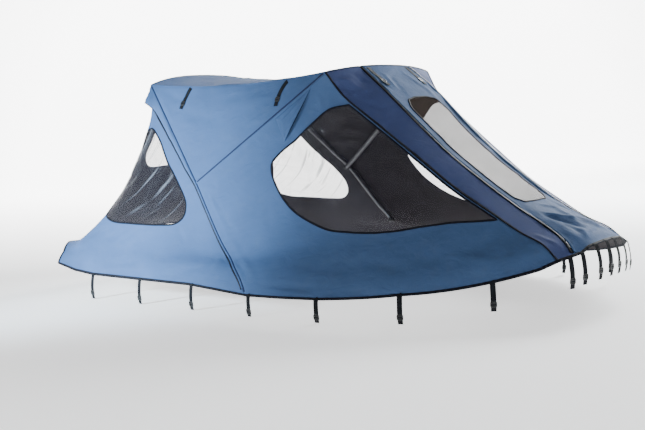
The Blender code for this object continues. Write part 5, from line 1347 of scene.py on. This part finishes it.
class CANOPY_OT_seams(Operator):
    """Sew the panels together: narrow felled seams over the ridges of the hoops and the roof edges."""
    bl_idname = "canopy.seams"
    bl_label = "Felled seams"

    def execute(self, context):
        # dark seam finish: real seams, and along the main leg also painted shade in the groove beside the
        # hoop
        dark = looks("seam")
        at = np.linspace(0.01, 0.985, 120)
        guide = over_joint((ROOF, column(at, -1.0), 1, 1.0), (UPPER, column(0.0, at), 0, 1.0))
        edge = strips((guide, profile_of(DOME, *ROOF_EDGE_SEAM)))
        both_sides(edge, "roof_edge_seam", looks("blue"), [], "cloth")
        guide = over_joint((UPPER, column(1.0, at), 0, -1.0), (LOWER, column(0.0, at), 0, 1.0))
        ridge = strips((guide, profile_of(DOME, *FORE_LEG_SEAM)))
        both_sides(ridge, "fore_leg_seam", dark, [], "trim")
        upper, lower = np.linspace(0.01, 0.99, 90), np.linspace(0.01, 0.97, 90)
        profile = profile_of(DOME, *MAIN_LEG_SEAM)
        upper_guide = over_joint((REAR, column(upper * PIVOT_AT, -1.0), 1, 1.0),
                                 (UPPER, column(upper, 0.0), 1, 1.0))
        lower_guide = over_joint((REAR, column(PIVOT_AT + (1 - PIVOT_AT) * lower, -1.0), 1, 1.0),
                                 (LOWER, column(lower, 0.0), 1, 1.0))
        groove = strips((upper_guide, profile), (lower_guide, profile))
        both_sides(groove, "main_leg_seam", dark, [], "trim")
        across = np.linspace(-CROWN_REACH, CROWN_REACH, 150)
        main_guide = over_joint((REAR, column(0.0, across * (1 - QUARTER_AT)), 0, 1.0),
                                (ROOF, column(0.0, across), 0, 1.0))
        profile = profile_of(DOME, *FORE_CROWN_SEAM)
        middle = FRONT_ZIP_TOP / abs(FORE_TOP[1])
        side = np.linspace(-CROWN_REACH, -middle - 0.03, 50)
        guide = over_joint((ROOF, column(1.0, side), 0, -1.0),
                           (CHEEK, column(0.0, (side + 1) / (1 - middle)), 0, 1.0))
        both_sides(strips((guide, profile)), "fore_crown_side_seam", dark, [], "trim")
        inner = np.linspace(-0.94, 0.94, 70)
        guide = over_joint((ROOF, column(1.0, inner * middle), 0, -1.0), (SCREEN, column(0.0, inner), 0, 1.0))
        crowns = strips((main_guide, profile_of(DOME, *MAIN_CROWN_SEAM)), (guide, profile))
        crowns.piece("crown_seams", dark, [], "trim")
        return {"FINISHED"}


def hem_loop():
    """The hem all round: points, upward directions along the cloth and outward directions, evened out."""
    rows = []
    aft = np.linspace(0.0, 1.0, 260)
    fore = np.linspace(0.0, 1.0, 180)
    bow = np.linspace(0.0, 1.0, 14)
    nose = np.linspace(-1.0, 0.0, 44)
    for panel, across in ((REAR, aft - 1.0), (LOWER, fore), (CHEEK, bow), (SCREEN, nose)):
        ab = column(1.0, across)
        order = slice(None, None, -1) if panel is REAR else slice(None)
        up = -unit(frame_at(panel.form, ab)[0])
        rows.append(np.concatenate([panel.form(ab[:, 0], ab[:, 1]), up, panel.normal(ab)], axis=1)[order])
    half = np.vstack([rows[0][:-1], rows[1][:-1], rows[2][:-1], rows[3]])
    flip = np.tile(MIRROR, 3)
    whole = np.vstack([half, (half * flip)[::-1][1:]])
    for _ in range(6):
        before, after = np.roll(whole[:-1], 1, axis=0), np.roll(whole[:-1], -1, axis=0)
        soft = 0.25 * before + 0.5 * whole[:-1] + 0.25 * after
        whole[:-1, 3:] = soft[:, 3:]
    whole[-1] = whole[0]
    return whole[:, :3], unit(whole[:, 3:6]), unit(whole[:, 6:])


class CANOPY_OT_binding(Operator):
    """Bind the hem: a folded tape whose section wraps the cloth's edge, carried all round."""
    bl_idname = "canopy.binding"
    bl_label = "Hem binding"

    def execute(self, context):
        points, up, out = HEM
        section = HEM_SECTION + HEM_SECTION[:1]
        grid = np.stack([points + up * y + out * z for y, z in section], axis=1)
        making = Making()
        making.sheet(grid, reach_of(points), [(y - HEM_TAPE_HALF) / HEM_TAPE_HALF for y, _ in section])
        making.piece("hem_tape", looks("trim"), ["hem_binding"], "trim")
        return {"FINISHED"}


def teeth(making, guide, pitch, half, height):
    """Zip teeth: small six-sided blocks in turn to the left and the right of a line."""
    p, n = guide(0.0)
    reach = reach_of(p)
    at = np.arange(pitch, reach[-1] - pitch, 0.5 * pitch)
    middle = straight_between(at, reach, p)
    out = unit(straight_between(at, reach, n))
    t = tangents(middle)
    side = np.cross(t, out) * np.where(np.arange(len(at)) % 2 == 0, 1.0, -1.0)[:, None]
    block = np.array(TOOTH)
    rings = []
    for level in (0.35 * height, height):
        x, y = block[:, 0] * pitch * 0.9, block[:, 1] * half
        rings.append(middle[:, None] + x[None, :, None] * t[:, None] + y[None, :, None] * side[:, None]
                     + level * out[:, None])
    grid = np.concatenate(rings, axis=1)
    count = len(at)
    base = np.arange(count)[:, None] * 12
    k = np.arange(6)
    after = base + (k + 1) % 6
    walls = np.stack([base + k, after, after + 6, base + k + 6], axis=-1).reshape(-1, 4)
    making.add(grid, [walls, base + k + 6, base + k[::-1]], np.zeros((count * 12, 2)), PLASTIC)


def slider(making, point, along_zip, out, size):
    """Zip slider: a waisted body turned over the teeth with a pull that hangs from its bridge."""
    side = np.cross(along_zip, out)
    a = np.linspace(0.0, 2 * math.pi, 25)
    levels = np.array(SLIDER_LEVELS)
    outline = np.stack([0.0055 * np.cos(a) * (1 - 0.25 * np.sin(a) ** 2), 0.0085 * np.sin(a)], axis=1) * size
    grid = (point + levels[:, :1, None] * (outline[None, :, :1] * side + outline[None, :, 1:] * along_zip)
            + levels[:, 1:, None] * out)
    making.sheet(grid, levels[:, 1], a * 0.005, METAL, caps=True, wrap=True)
    t = np.linspace(0.0, math.pi, 9)
    arch = 0.0062 * np.cos(t)[:, None] * along_zip + (0.0046 + 0.0028 * np.sin(t))[:, None] * out
    bridge = point + arch * size
    rod(making, bridge, 0.0011 * size, 8, METAL)
    y = np.linspace(0.0, 0.034, 10) * size
    wide = np.interp(y, *np.array(PULL_WIDTHS).T)
    pull = superellipse(1.0, 1.0, 0.5, 14)
    grid = (point + (0.004 * size + y)[:, None, None] * along_zip
            + (wide[:, None] * pull[:, 0])[..., None] * side
            + (0.0074 * size - 0.06 * y[:, None] + 0.0009 * pull[:, 1])[..., None] * out)
    making.sheet(grid, y, pull[:, 0], METAL, caps=True, wrap=True)


class CANOPY_OT_front_zips(Operator):
    """Zips of the bow: tape over the joint of cheek and windscreen, teeth, a narrow flap and a slider."""
    bl_idname = "canopy.front_zips"
    bl_label = "Front zips"

    def execute(self, context):
        sizes = context.scene.canopy_sizes
        at = np.linspace(0.004, 0.985, 300)
        guide = over_joint((CHEEK, column(at, 1.0), 1, -1.0), (SCREEN, column(at, -1.0), 1, 1.0))
        making = strips((guide, [(FRONT_ZIP_HALF * a, height) for a, height in ZIP_TAPE]))
        teeth(making, guide, sizes.tooth, 0.0032, 0.0036)
        p, n = guide(0.0)
        t = tangents(p)
        slider(making, p[286], t[286], n[286], 1.0)
        both_sides(making, "bow_zip", looks("trim", "plastic", "metal"), ["front_zip"], "trim")
        line = column(at, -1.0)
        beside = SCREEN.shift(line, sideways(SCREEN, line, 1, 1.0), FRONT_ZIP_HALF + 0.0055)
        flap = strips((over_panel(SCREEN, beside), profile_of(DOME, 0.005, 0.0040)))
        both_sides(flap, "bow_zip_flap", looks("blue"), [], "cloth")
        return {"FINISHED"}


def aft_lines(start):
    """Line of the main leg on the rear panel from a share on, and how far behind it the aft zip runs."""
    table = np.array(AFT_ZIP)
    down = np.linspace(start, AFT_ZIP_END, 200)
    line = column(down, -1.0)
    away = sideways(REAR, line, 1, 1.0)
    return line, away, np.interp(down, table[:, 0], table[:, 1])


class CANOPY_OT_aft_zips(Operator):
    """Aft openings: a sleeve that bulges from the main leg back to the zip, and the zip itself."""
    bl_idname = "canopy.aft_zips"
    bl_label = "Aft flaps and zips"

    def execute(self, context):
        sizes = context.scene.canopy_sizes
        share = np.linspace(0.0, 1.0, 13)
        rows = []
        for s in share:
            line, away, behind = aft_lines(SLEEVE_SLANT * s)
            down = line[:, 0]
            bulge = sizes.flap_bulge * np.interp(down, *np.array(SLEEVE_BULGE).T)
            corner = sizes.flap_corner * np.exp(-((down - SLEEVE_SLANT) / 0.05) ** 2)
            ab = REAR.shift(line, away * ((behind - AFT_ZIP_HALF) * s)[:, None], 1.0)
            lift = 0.0012 + bulge * math.sin(math.pi * (0.06 + 0.94 * s)) ** 0.8 + corner * s ** 1.5
            rows.append(REAR.point(ab) + REAR.normal(ab) * lift[:, None])
        making = Making()
        making.sheet(np.stack(rows[::-1], axis=1), reach_of(rows[0]), share * 0.04)
        cloth = looks("blue", "lining")
        lay(making, "aft_sleeve", cloth, ["aft_flap"], "cloth", sizes.cloth, True, offset=0.0)
        edge = Making()
        rod(edge, rows[-1], 0.0026, 8)
        both_sides(edge, "aft_sleeve_edge", looks("trim"), [], "trim")
        line, away, behind = aft_lines(SLEEVE_SLANT)
        guide = over_panel(REAR, REAR.shift(line, away * behind[:, None], 1.0))
        zipped = strips((guide, profile_of(DOME, AFT_ZIP_HALF, 0.0030)))
        teeth(zipped, guide, sizes.tooth, 0.0024, 0.0042)
        p, n = guide(0.0)
        t = tangents(p)
        slider(zipped, p[4], t[4], n[4], 0.9)
        both_sides(zipped, "aft_zip_tape", looks("trim", "plastic", "metal"), ["aft_zip"], "trim")
        return {"FINISHED"}


class CANOPY_OT_vents(Operator):
    """Vents: a hood hinged along two sides that bulges to its open edge, its rim and a mesh under it."""
    bl_idname = "canopy.vents"
    bl_label = "Vents"

    def execute(self, context):
        sizes = context.scene.canopy_sizes
        apex, bend, tip = np.array(VENT)
        s = np.linspace(0.0, 1.0, 49)
        first = reach_of(lower_side(*np.array([apex, bend]).T))[-1]
        second = reach_of(lower_side(*np.array([bend, tip]).T))[-1]
        knee = first / (first + second)
        hinge = straight_between(s, (0.0, knee, 1.0), np.array(VENT))
        opening = apex + (tip - apex) * s[:, None]

        def across_vent(t, lift):
            """Points between the hinge and the opening, lifted off the panel."""
            ab = hinge + (opening - hinge) * t
            return LOWER.point(ab) + LOWER.normal(ab) * lift[:, None]

        rows = []
        share = np.linspace(0.0, 1.0, 19)
        arch = np.sin(math.pi * s) ** 0.75
        for t in share:
            crease = 0.0022 * (np.exp(-((t - 0.45) / 0.08) ** 2) - np.exp(-((t - 0.70) / 0.07) ** 2))
            lift = VENT_LIFT + arch * (sizes.vent_lift * t ** 0.8 + crease)
            rows.append(across_vent(t, lift))
        grid = np.stack(rows, axis=1)
        hood = Making()
        hood.sheet(grid, reach_of(grid[:, 0]), share * VENT_WIDTH)
        cloth = looks("blue", "lining")
        lay(hood, "vent_hood", cloth, ["vent"], "cloth", sizes.cloth, True, offset=0.0)
        rim = Making()
        rod(rim, grid[1:-1, -1], 0.0022, 10)
        both_sides(rim, "vent_rim", looks("blue"), [], "cloth")
        net = Making()
        cover = np.linspace(0.05, 0.97, 12)
        rows = [across_vent(t, np.full(len(s), VENT_LIFT)) for t in cover]
        net.sheet(np.stack(rows, axis=1)[3:-3], reach_of(rows[0])[3:-3], cover * VENT_WIDTH)
        lay(net, "vent_mesh", looks("trim"), [], "trim", VENT_NET, True, offset=1.0)
        return {"FINISHED"}


def roof_strap(panel, start, end):
    """Carrier of a strap that lies on a panel between two places, and its length."""
    t = np.linspace(0.0, 1.0, 60)[:, None]
    ab = np.array(start) + (np.array(end) - np.array(start)) * t
    p, n = panel.point(ab), panel.normal(ab)
    side = unit(np.cross(tangents(p), n))
    return carried(p, side, n)


def hem_strap(at):
    """Carrier of a strap from above the hem down the round edge."""
    degrees = np.linspace(float(hem_angle(at)), HEM_STRAP_END, 40)
    low = on_round(np.full(40, at), degrees)
    normal = unit(low - round_middle(np.full(40, at))[0])
    points, up, outward = HEM
    k = int(np.argmin(np.linalg.norm(points[:len(points) // 2 + 2] - low[0], axis=1)))
    path = np.vstack([low[0] + up[k] * HEM_STRAP_ABOVE, low])
    normals = np.vstack([outward[k], normal])
    normals[1] = unit(normals[0] + normals[1])
    side = unit(np.cross(tangents(path), normals))
    return carried(path, side, normals)


def strap_making(carrier, above, lift, sizes):
    """Webbing with its buckle and loose tail on a carrier that starts `above` the place it is sewn at."""
    place, reach = carrier
    making = Making()
    buckled = above + BUCKLE_AT * (reach - above)
    webbing_strap(making, place, 0.0, buckled + 0.010, sizes.strap, sizes.webbing, lift)
    webbing_strap(making, place, buckled - 0.012, reach, sizes.strap * 0.96, sizes.webbing, lift + 0.0024)
    buckle(making, place, buckled, BUCKLE_HALF, BUCKLE_LENGTH, BUCKLE_THICK, lift + 0.0004)
    return making


class CANOPY_OT_straps(Operator):
    """Straps: flat webbing with a ladder buckle, on the roof edges, the windscreen and all along the hem."""
    bl_idname = "canopy.straps"
    bl_label = "Straps"

    def execute(self, context):
        sizes = context.scene.canopy_sizes
        finishes = looks("webbing", "plastic")
        for label, panel, start, end in (
                *((label, UPPER, row[:2], row[2:]) for label, *row in ROOF_STRAPS),
                ("front", SCREEN, FRONT_STRAP[:2], FRONT_STRAP[2:])):
            making = strap_making(roof_strap(panel, start, end), 0.0, ROOF_STRAP_LIFT, sizes)
            both_sides(making, f"roof_tie_{label}", finishes, [f"roof_strap_{label}"], "webbing")
        for number, at in enumerate(HEM_STRAPS, start=1):
            making = strap_making(hem_strap(at), HEM_STRAP_ABOVE, HEM_STRAP_LIFT, sizes)
            both_sides(making, f"hem_tie_{number:02d}", finishes, [f"hem_strap_{number:02d}"], "webbing")
        return {"FINISHED"}


def ridge_normal(first, second):
    """Mean outward direction of two panels along their joint, and the share of each that it keeps."""
    a, b = first[0].normal(first[1]), second[0].normal(second[1])
    mean = unit(a + b)
    return mean, np.maximum(0.5, (mean * a).sum(1))


def rounded(path, k, share=0.55):
    """The k-th point of a path replaced by a parabola between its neighbours."""
    before, corner, after = path[k - 1], path[k], path[k + 1]
    a, b = corner + (before - corner) * share, corner + (after - corner) * share
    t = np.linspace(0.0, 1.0, 5)[:, None]
    return np.vstack([path[:k], (1 - t) ** 2 * a + 2 * t * (1 - t) * corner + t ** 2 * b, path[k + 1:]])


def under(points, mean, cosine, more=0.0):
    """Centre line of a tube below a ridge."""
    return points - mean * (HOOP_DEPTH / cosine + more)[:, None]


class CANOPY_OT_hoops(Operator):
    """Hoops: round tubes under the ridges, with turned feet, pivot bolts and caps."""
    bl_idname = "canopy.hoops"
    bl_label = "Hoops"

    def execute(self, context):
        foot_share = PIVOT_AT + (1 - PIVOT_AT) * leg_share()
        at = np.concatenate([np.linspace(0.0, PIVOT_AT, 9), np.linspace(PIVOT_AT, 1.0, 9)[1:]])
        at = at[at < foot_share + 0.01]
        above, below = at[at <= PIVOT_AT], at[at > PIVOT_AT]
        upper = ridge_normal((REAR, column(above, -1.0)), (UPPER, column(above / PIVOT_AT, 0.0)))
        low_at = (below - PIVOT_AT) / (1 - PIVOT_AT)
        lower = ridge_normal((REAR, column(below, -1.0)), (LOWER, column(low_at, 0.0)))
        mean, cosine = np.vstack([upper[0], lower[0]]), np.concatenate([upper[1], lower[1]])
        sink = FOOT_SINK * np.clip((at - foot_share + FOOT_REACH) / FOOT_REACH, 0.0, 1.0) ** 2
        sink[:2] += (CORNER_RELIEF, 0.4 * CORNER_RELIEF)
        down = under(leg(at), mean, cosine, sink)
        across = np.linspace(-1.0, 1.0, 13)[1:-1]
        relief = np.zeros(11)
        relief[[0, -1]] = CORNER_RELIEF
        relief[[1, -2]] = 0.3 * CORNER_RELIEF
        rows = column(0.0, across * (1 - QUARTER_AT))
        mean, cosine = ridge_normal((REAR, rows), (ROOF, column(0.0, across)))
        top = under(crown(MAIN_TOP, MAIN_RISE, -MAIN_TOP[1] * across), mean, cosine, relief)
        last = down[-1]
        middle = np.array([last[0], -(HALF_BEAM - ROUND_RADIUS), -SIDE_DROP])
        out = unit((last - middle) * (0.0, 1.0, 1.0))
        foot = middle + out * ROUND_RADIUS + np.array([FOOT_AHEAD, 0.0, 0.0])
        down = np.vstack([down, foot + out * 0.5 * FOOT_THICK])
        fitting = Making()
        turned(fitting, FOOT, foot, out, 32, PLASTIC)
        self.tube("main_tube", "main_hoop", down[::-1], top, fitting)
        at = np.linspace(0.0, 1.0, 11)
        inner_at = np.clip(at, 0.0, 0.985)
        mean, cosine = ridge_normal((UPPER, column(1.0, inner_at)), (LOWER, column(0.0, at)))
        clear = 2 * HOOP_RADIUS + PIVOT_CLEAR + 0.25 * PIVOT_LENGTH
        up = under(fore_leg(at), mean, cosine, clear * np.clip(1 - at / 0.25, 0.0, 1.0) ** 2)
        share = FRONT_ZIP_TOP / abs(FORE_TOP[1])
        side = np.linspace(-1.0, -share, 4)
        across = np.concatenate([side, np.linspace(-share, share, 7)[1:], -side[::-1][1:]])[1:-1]
        mean, cosine = self.fore_normals(across, share)
        top = under(crown(FORE_TOP, FORE_RISE, -FORE_TOP[1] * across), mean, cosine)
        pivot_mean = unit(upper[0][-1] + lower[0][0])
        start = np.array(PIVOT) - pivot_mean * HOOP_DEPTH - pivot_mean * (HOOP_RADIUS + HOOP_GAP)
        fitting = Making()
        turned(fitting, PIVOT_FITTING, start, -pivot_mean, 28, PLASTIC)
        self.tube("fore_tube", "fore_hoop", up, top, fitting)
        return {"FINISHED"}

    def fore_normals(self, across, share):
        """Mean directions along the fore crown, over the cheeks and the windscreen."""
        means, cosines = [], []
        for w in across:
            if abs(w) < share:
                other = (SCREEN, column([0.0], [w / share]))
            else:
                other = (CHEEK, column([0.0], [(1 - abs(w)) / (1 - share)]))
            a = ROOF.normal(column([1.0], [w]))[0]
            b = other[0].normal(other[1])[0]
            if w > share:
                b = b * MIRROR
            mean = unit(a + b)
            means.append(mean)
            cosines.append(max(0.5, float(mean @ a)))
        return np.array(means), np.array(cosines)

    def tube(self, name, node, leg_line, crown_line, fitting):
        """A hoop from its starboard leg up to the crown, its crown and a turned fitting on each leg."""
        path = np.vstack([leg_line, crown_line, leg_line[::-1] * MIRROR])
        count = len(leg_line)
        path = rounded(path, len(path) - count)
        path = rounded(path, count - 1)
        making = Making()
        rod(making, along(path, np.linspace(0.0, 1.0, TUBE_STEPS)), HOOP_RADIUS, 20)
        for part in (fitting, fitting.mirrored()):
            making.join(part)
        making.piece(name, looks("metal", "plastic"), [node], "hoop")


def leg_share():
    """How far down the lower leg the main hoop's foot lies."""
    whole = np.vstack([PIVOT, LEG_LOW, hem(LEG_FOOT)])
    reach = np.linalg.norm(np.diff(whole, axis=0), axis=1)
    return reach[0] / reach.sum()


# Each sheet's flat width and length in metres and its area in square metres
SHEETS = (
    ("rear_cloth", (4.55, 1.30), 2.22), ("roof_cloth", (1.30, 0.95), 1.20),
    ("windscreen_cloth", (0.48, 1.60), 0.38),
    ("windscreen_film", (0.30, 0.90), 0.21), ("stern_film", (0.96, 0.43), 0.335),
)
SIDE_SHEETS = (
    ("upper_cloth", (1.30, 0.80), 0.34), ("lower_cloth", (1.80, 0.80), 0.86),
    ("cheek_cloth", (0.28, 1.65), 0.235),
    ("rear_film", (0.62, 0.62), 0.22), ("side_film", (1.25, 0.55), 0.42),
)


class CANOPY_OT_sheets(Operator):
    """List each sheet with the size that it was cut to; the list is not used further."""
    bl_idname = "canopy.sheets"
    bl_label = "Sheet sizes"

    def execute(self, context):
        rows = list(SHEETS)
        for name, flat, area in SIDE_SHEETS:
            rows += [(f"{name}_{side}", flat, area) for side in ("starboard", "port")]
        return {"FINISHED"}


# The camera: place, yaw to the left of +Y, dip, roll, and focal length over the frame's width
CAMERA_PLACE = (3.58222, -4.23731, 0.84941)
CAMERA_YAW, CAMERA_DIP, CAMERA_ROLL = 0.72254, 0.09352, -0.05947
CAMERA_LENS = 36.0 * 1023.789 / 645.0
LIGHTS = (
    ("back", "AREA", (0.6, 6.0, 3.9), (0.0, 0.0, 0.4), 3.0, 900.0, (0.94, 0.98, 1.0)),
    ("stern", "SPOT", (-1.8, -5.0, 1.6), (-0.95, -0.75, 0.35), 0.35, 3500.0, (0.80, 0.98, 1.12)),
)
SPOT_ANGLE = 30.0
WORLD_COLOUR, WORLD_STRENGTH = (0.93, 0.96, 1.0, 1.0), 0.05
# Floor and backdrop, turned about the middle: radius, height
STAGE_PROFILE = ((0.0, 0.0), (6.0, 0.0), (11.0, 0.0), (12.5, 0.35), (13.6, 1.4), (14.0, 3.0), (14.0, 9.0))
# Glow of the stage: far off, round the canopy, and round the bright point of the backdrop
STAGE_GLOW = (0.05, 1.0, 6.0)
BRIGHT_POINT = (-7.9, 8.9, 0.5)


class CANOPY_OT_stage(Operator):
    """Floor, backdrop, soft lights and the camera."""
    bl_idname = "canopy.stage"
    bl_label = "Stage"

    def execute(self, context):
        level = CAD_BOX[0][2] - 0.004
        a = np.linspace(0.0, 2 * math.pi, 97)
        table = np.array(STAGE_PROFILE)
        ring = np.stack([np.cos(a), np.sin(a), 0 * a], axis=1)
        grid = table[:, :1, None] * ring[None] + (table[:, 1:, None] + level) * np.array([0.0, 0.0, 1.0])
        making = Making()
        making.sheet(grid, table[:, 0], a, wrap=True)
        mesh = bpy.data.meshes.new("ground")
        mesh.from_pydata(np.vstack(making.points).tolist(), [], making.faces)
        mesh.materials.append(finish("stage"))
        mesh.polygons.foreach_set("use_smooth", [True] * len(mesh.polygons))
        ground = bpy.data.objects.new("ground", mesh)
        context.scene.collection.objects.link(ground)
        world = bpy.data.worlds.new("studio")
        world.use_nodes = True
        background = world.node_tree.nodes["Background"]
        background.inputs[0].default_value = WORLD_COLOUR
        background.inputs[1].default_value = WORLD_STRENGTH
        context.scene.world = world
        for name, kind, place, aim, size, power, colour in LIGHTS:
            light = bpy.data.lights.new(name, kind)
            if kind == "AREA":
                light.shape = "DISK"
                light.size = size
            else:
                light.shadow_soft_size = size
                light.spot_size = math.radians(SPOT_ANGLE)
                light.spot_blend = 1.0
            light.energy = power
            light.color = colour
            thing = bpy.data.objects.new(name, light)
            thing.location = place
            thing.rotation_euler = direction(np.array(aim) - np.array(place))
            context.scene.collection.objects.link(thing)
        context.scene.camera = self.camera(context)
        return {"FINISHED"}

    def camera(self, context):
        """The camera at the photograph's angle."""
        yaw, dip, roll = CAMERA_YAW, CAMERA_DIP, CAMERA_ROLL
        ahead = np.array([-math.sin(yaw) * math.cos(dip), math.cos(yaw) * math.cos(dip), -math.sin(dip)])
        level = np.array([math.cos(yaw), math.sin(yaw), 0.0])
        up = np.cross(level, ahead)
        x = math.cos(roll) * level + math.sin(roll) * up
        y = -math.sin(roll) * level + math.cos(roll) * up
        lens = bpy.data.cameras.new("camera")
        lens.sensor_fit = "HORIZONTAL"
        lens.sensor_width = 36.0
        lens.lens = CAMERA_LENS
        lens.clip_end = 100.0
        thing = bpy.data.objects.new("camera", lens)
        matrix = np.eye(4)
        matrix[:3, 0], matrix[:3, 1], matrix[:3, 2], matrix[:3, 3] = x, y, -ahead, CAMERA_PLACE
        thing.matrix_world = Matrix(matrix.tolist())
        context.scene.collection.objects.link(thing)
        return thing


def direction(aim):
    """Turn of a light so that it shines along a direction."""
    return Vector(aim).to_track_quat("-Z", "Y").to_euler()


OPERATORS = (
    CANOPY_OT_cloth, CANOPY_OT_films, CANOPY_OT_piping, CANOPY_OT_seams, CANOPY_OT_binding,
    CANOPY_OT_front_zips, CANOPY_OT_aft_zips, CANOPY_OT_vents, CANOPY_OT_straps, CANOPY_OT_hoops,
    CANOPY_OT_sheets, CANOPY_OT_stage,
)


class CANOPY_PT_pieces(Panel):
    """List of the canopy's operators."""
    bl_label = "Canopy"
    bl_idname = "CANOPY_PT_pieces"
    bl_space_type = "VIEW_3D"
    bl_region_type = "UI"
    bl_category = "Canopy"

    def draw(self, context):
        for group in (context.scene.canopy_sizes, context.scene.canopy_colours):
            for name in group.__annotations__:
                self.layout.prop(group, name)
        for operator in OPERATORS:
            self.layout.operator(operator.bl_idname)


CLASSES = (CanopySizes, CanopyColours, *OPERATORS, CANOPY_PT_pieces)


def register():
    """Register the classes and hang the groups on the scene."""
    for item in CLASSES:
        bpy.utils.register_class(item)
    bpy.types.Scene.canopy_sizes = PointerProperty(type=CanopySizes)
    bpy.types.Scene.canopy_colours = PointerProperty(type=CanopyColours)


def unregister():
    """Take the groups and the classes away again."""
    del bpy.types.Scene.canopy_colours
    del bpy.types.Scene.canopy_sizes
    for item in reversed(CLASSES):
        bpy.utils.unregister_class(item)


def main():
    """Build every piece in order."""
    register()
    for operator in OPERATORS:
        group, name = operator.bl_idname.split(".")
        getattr(getattr(bpy.ops, group), name)()


HEM = hem_loop()

if __name__ == "__main__":
    main()
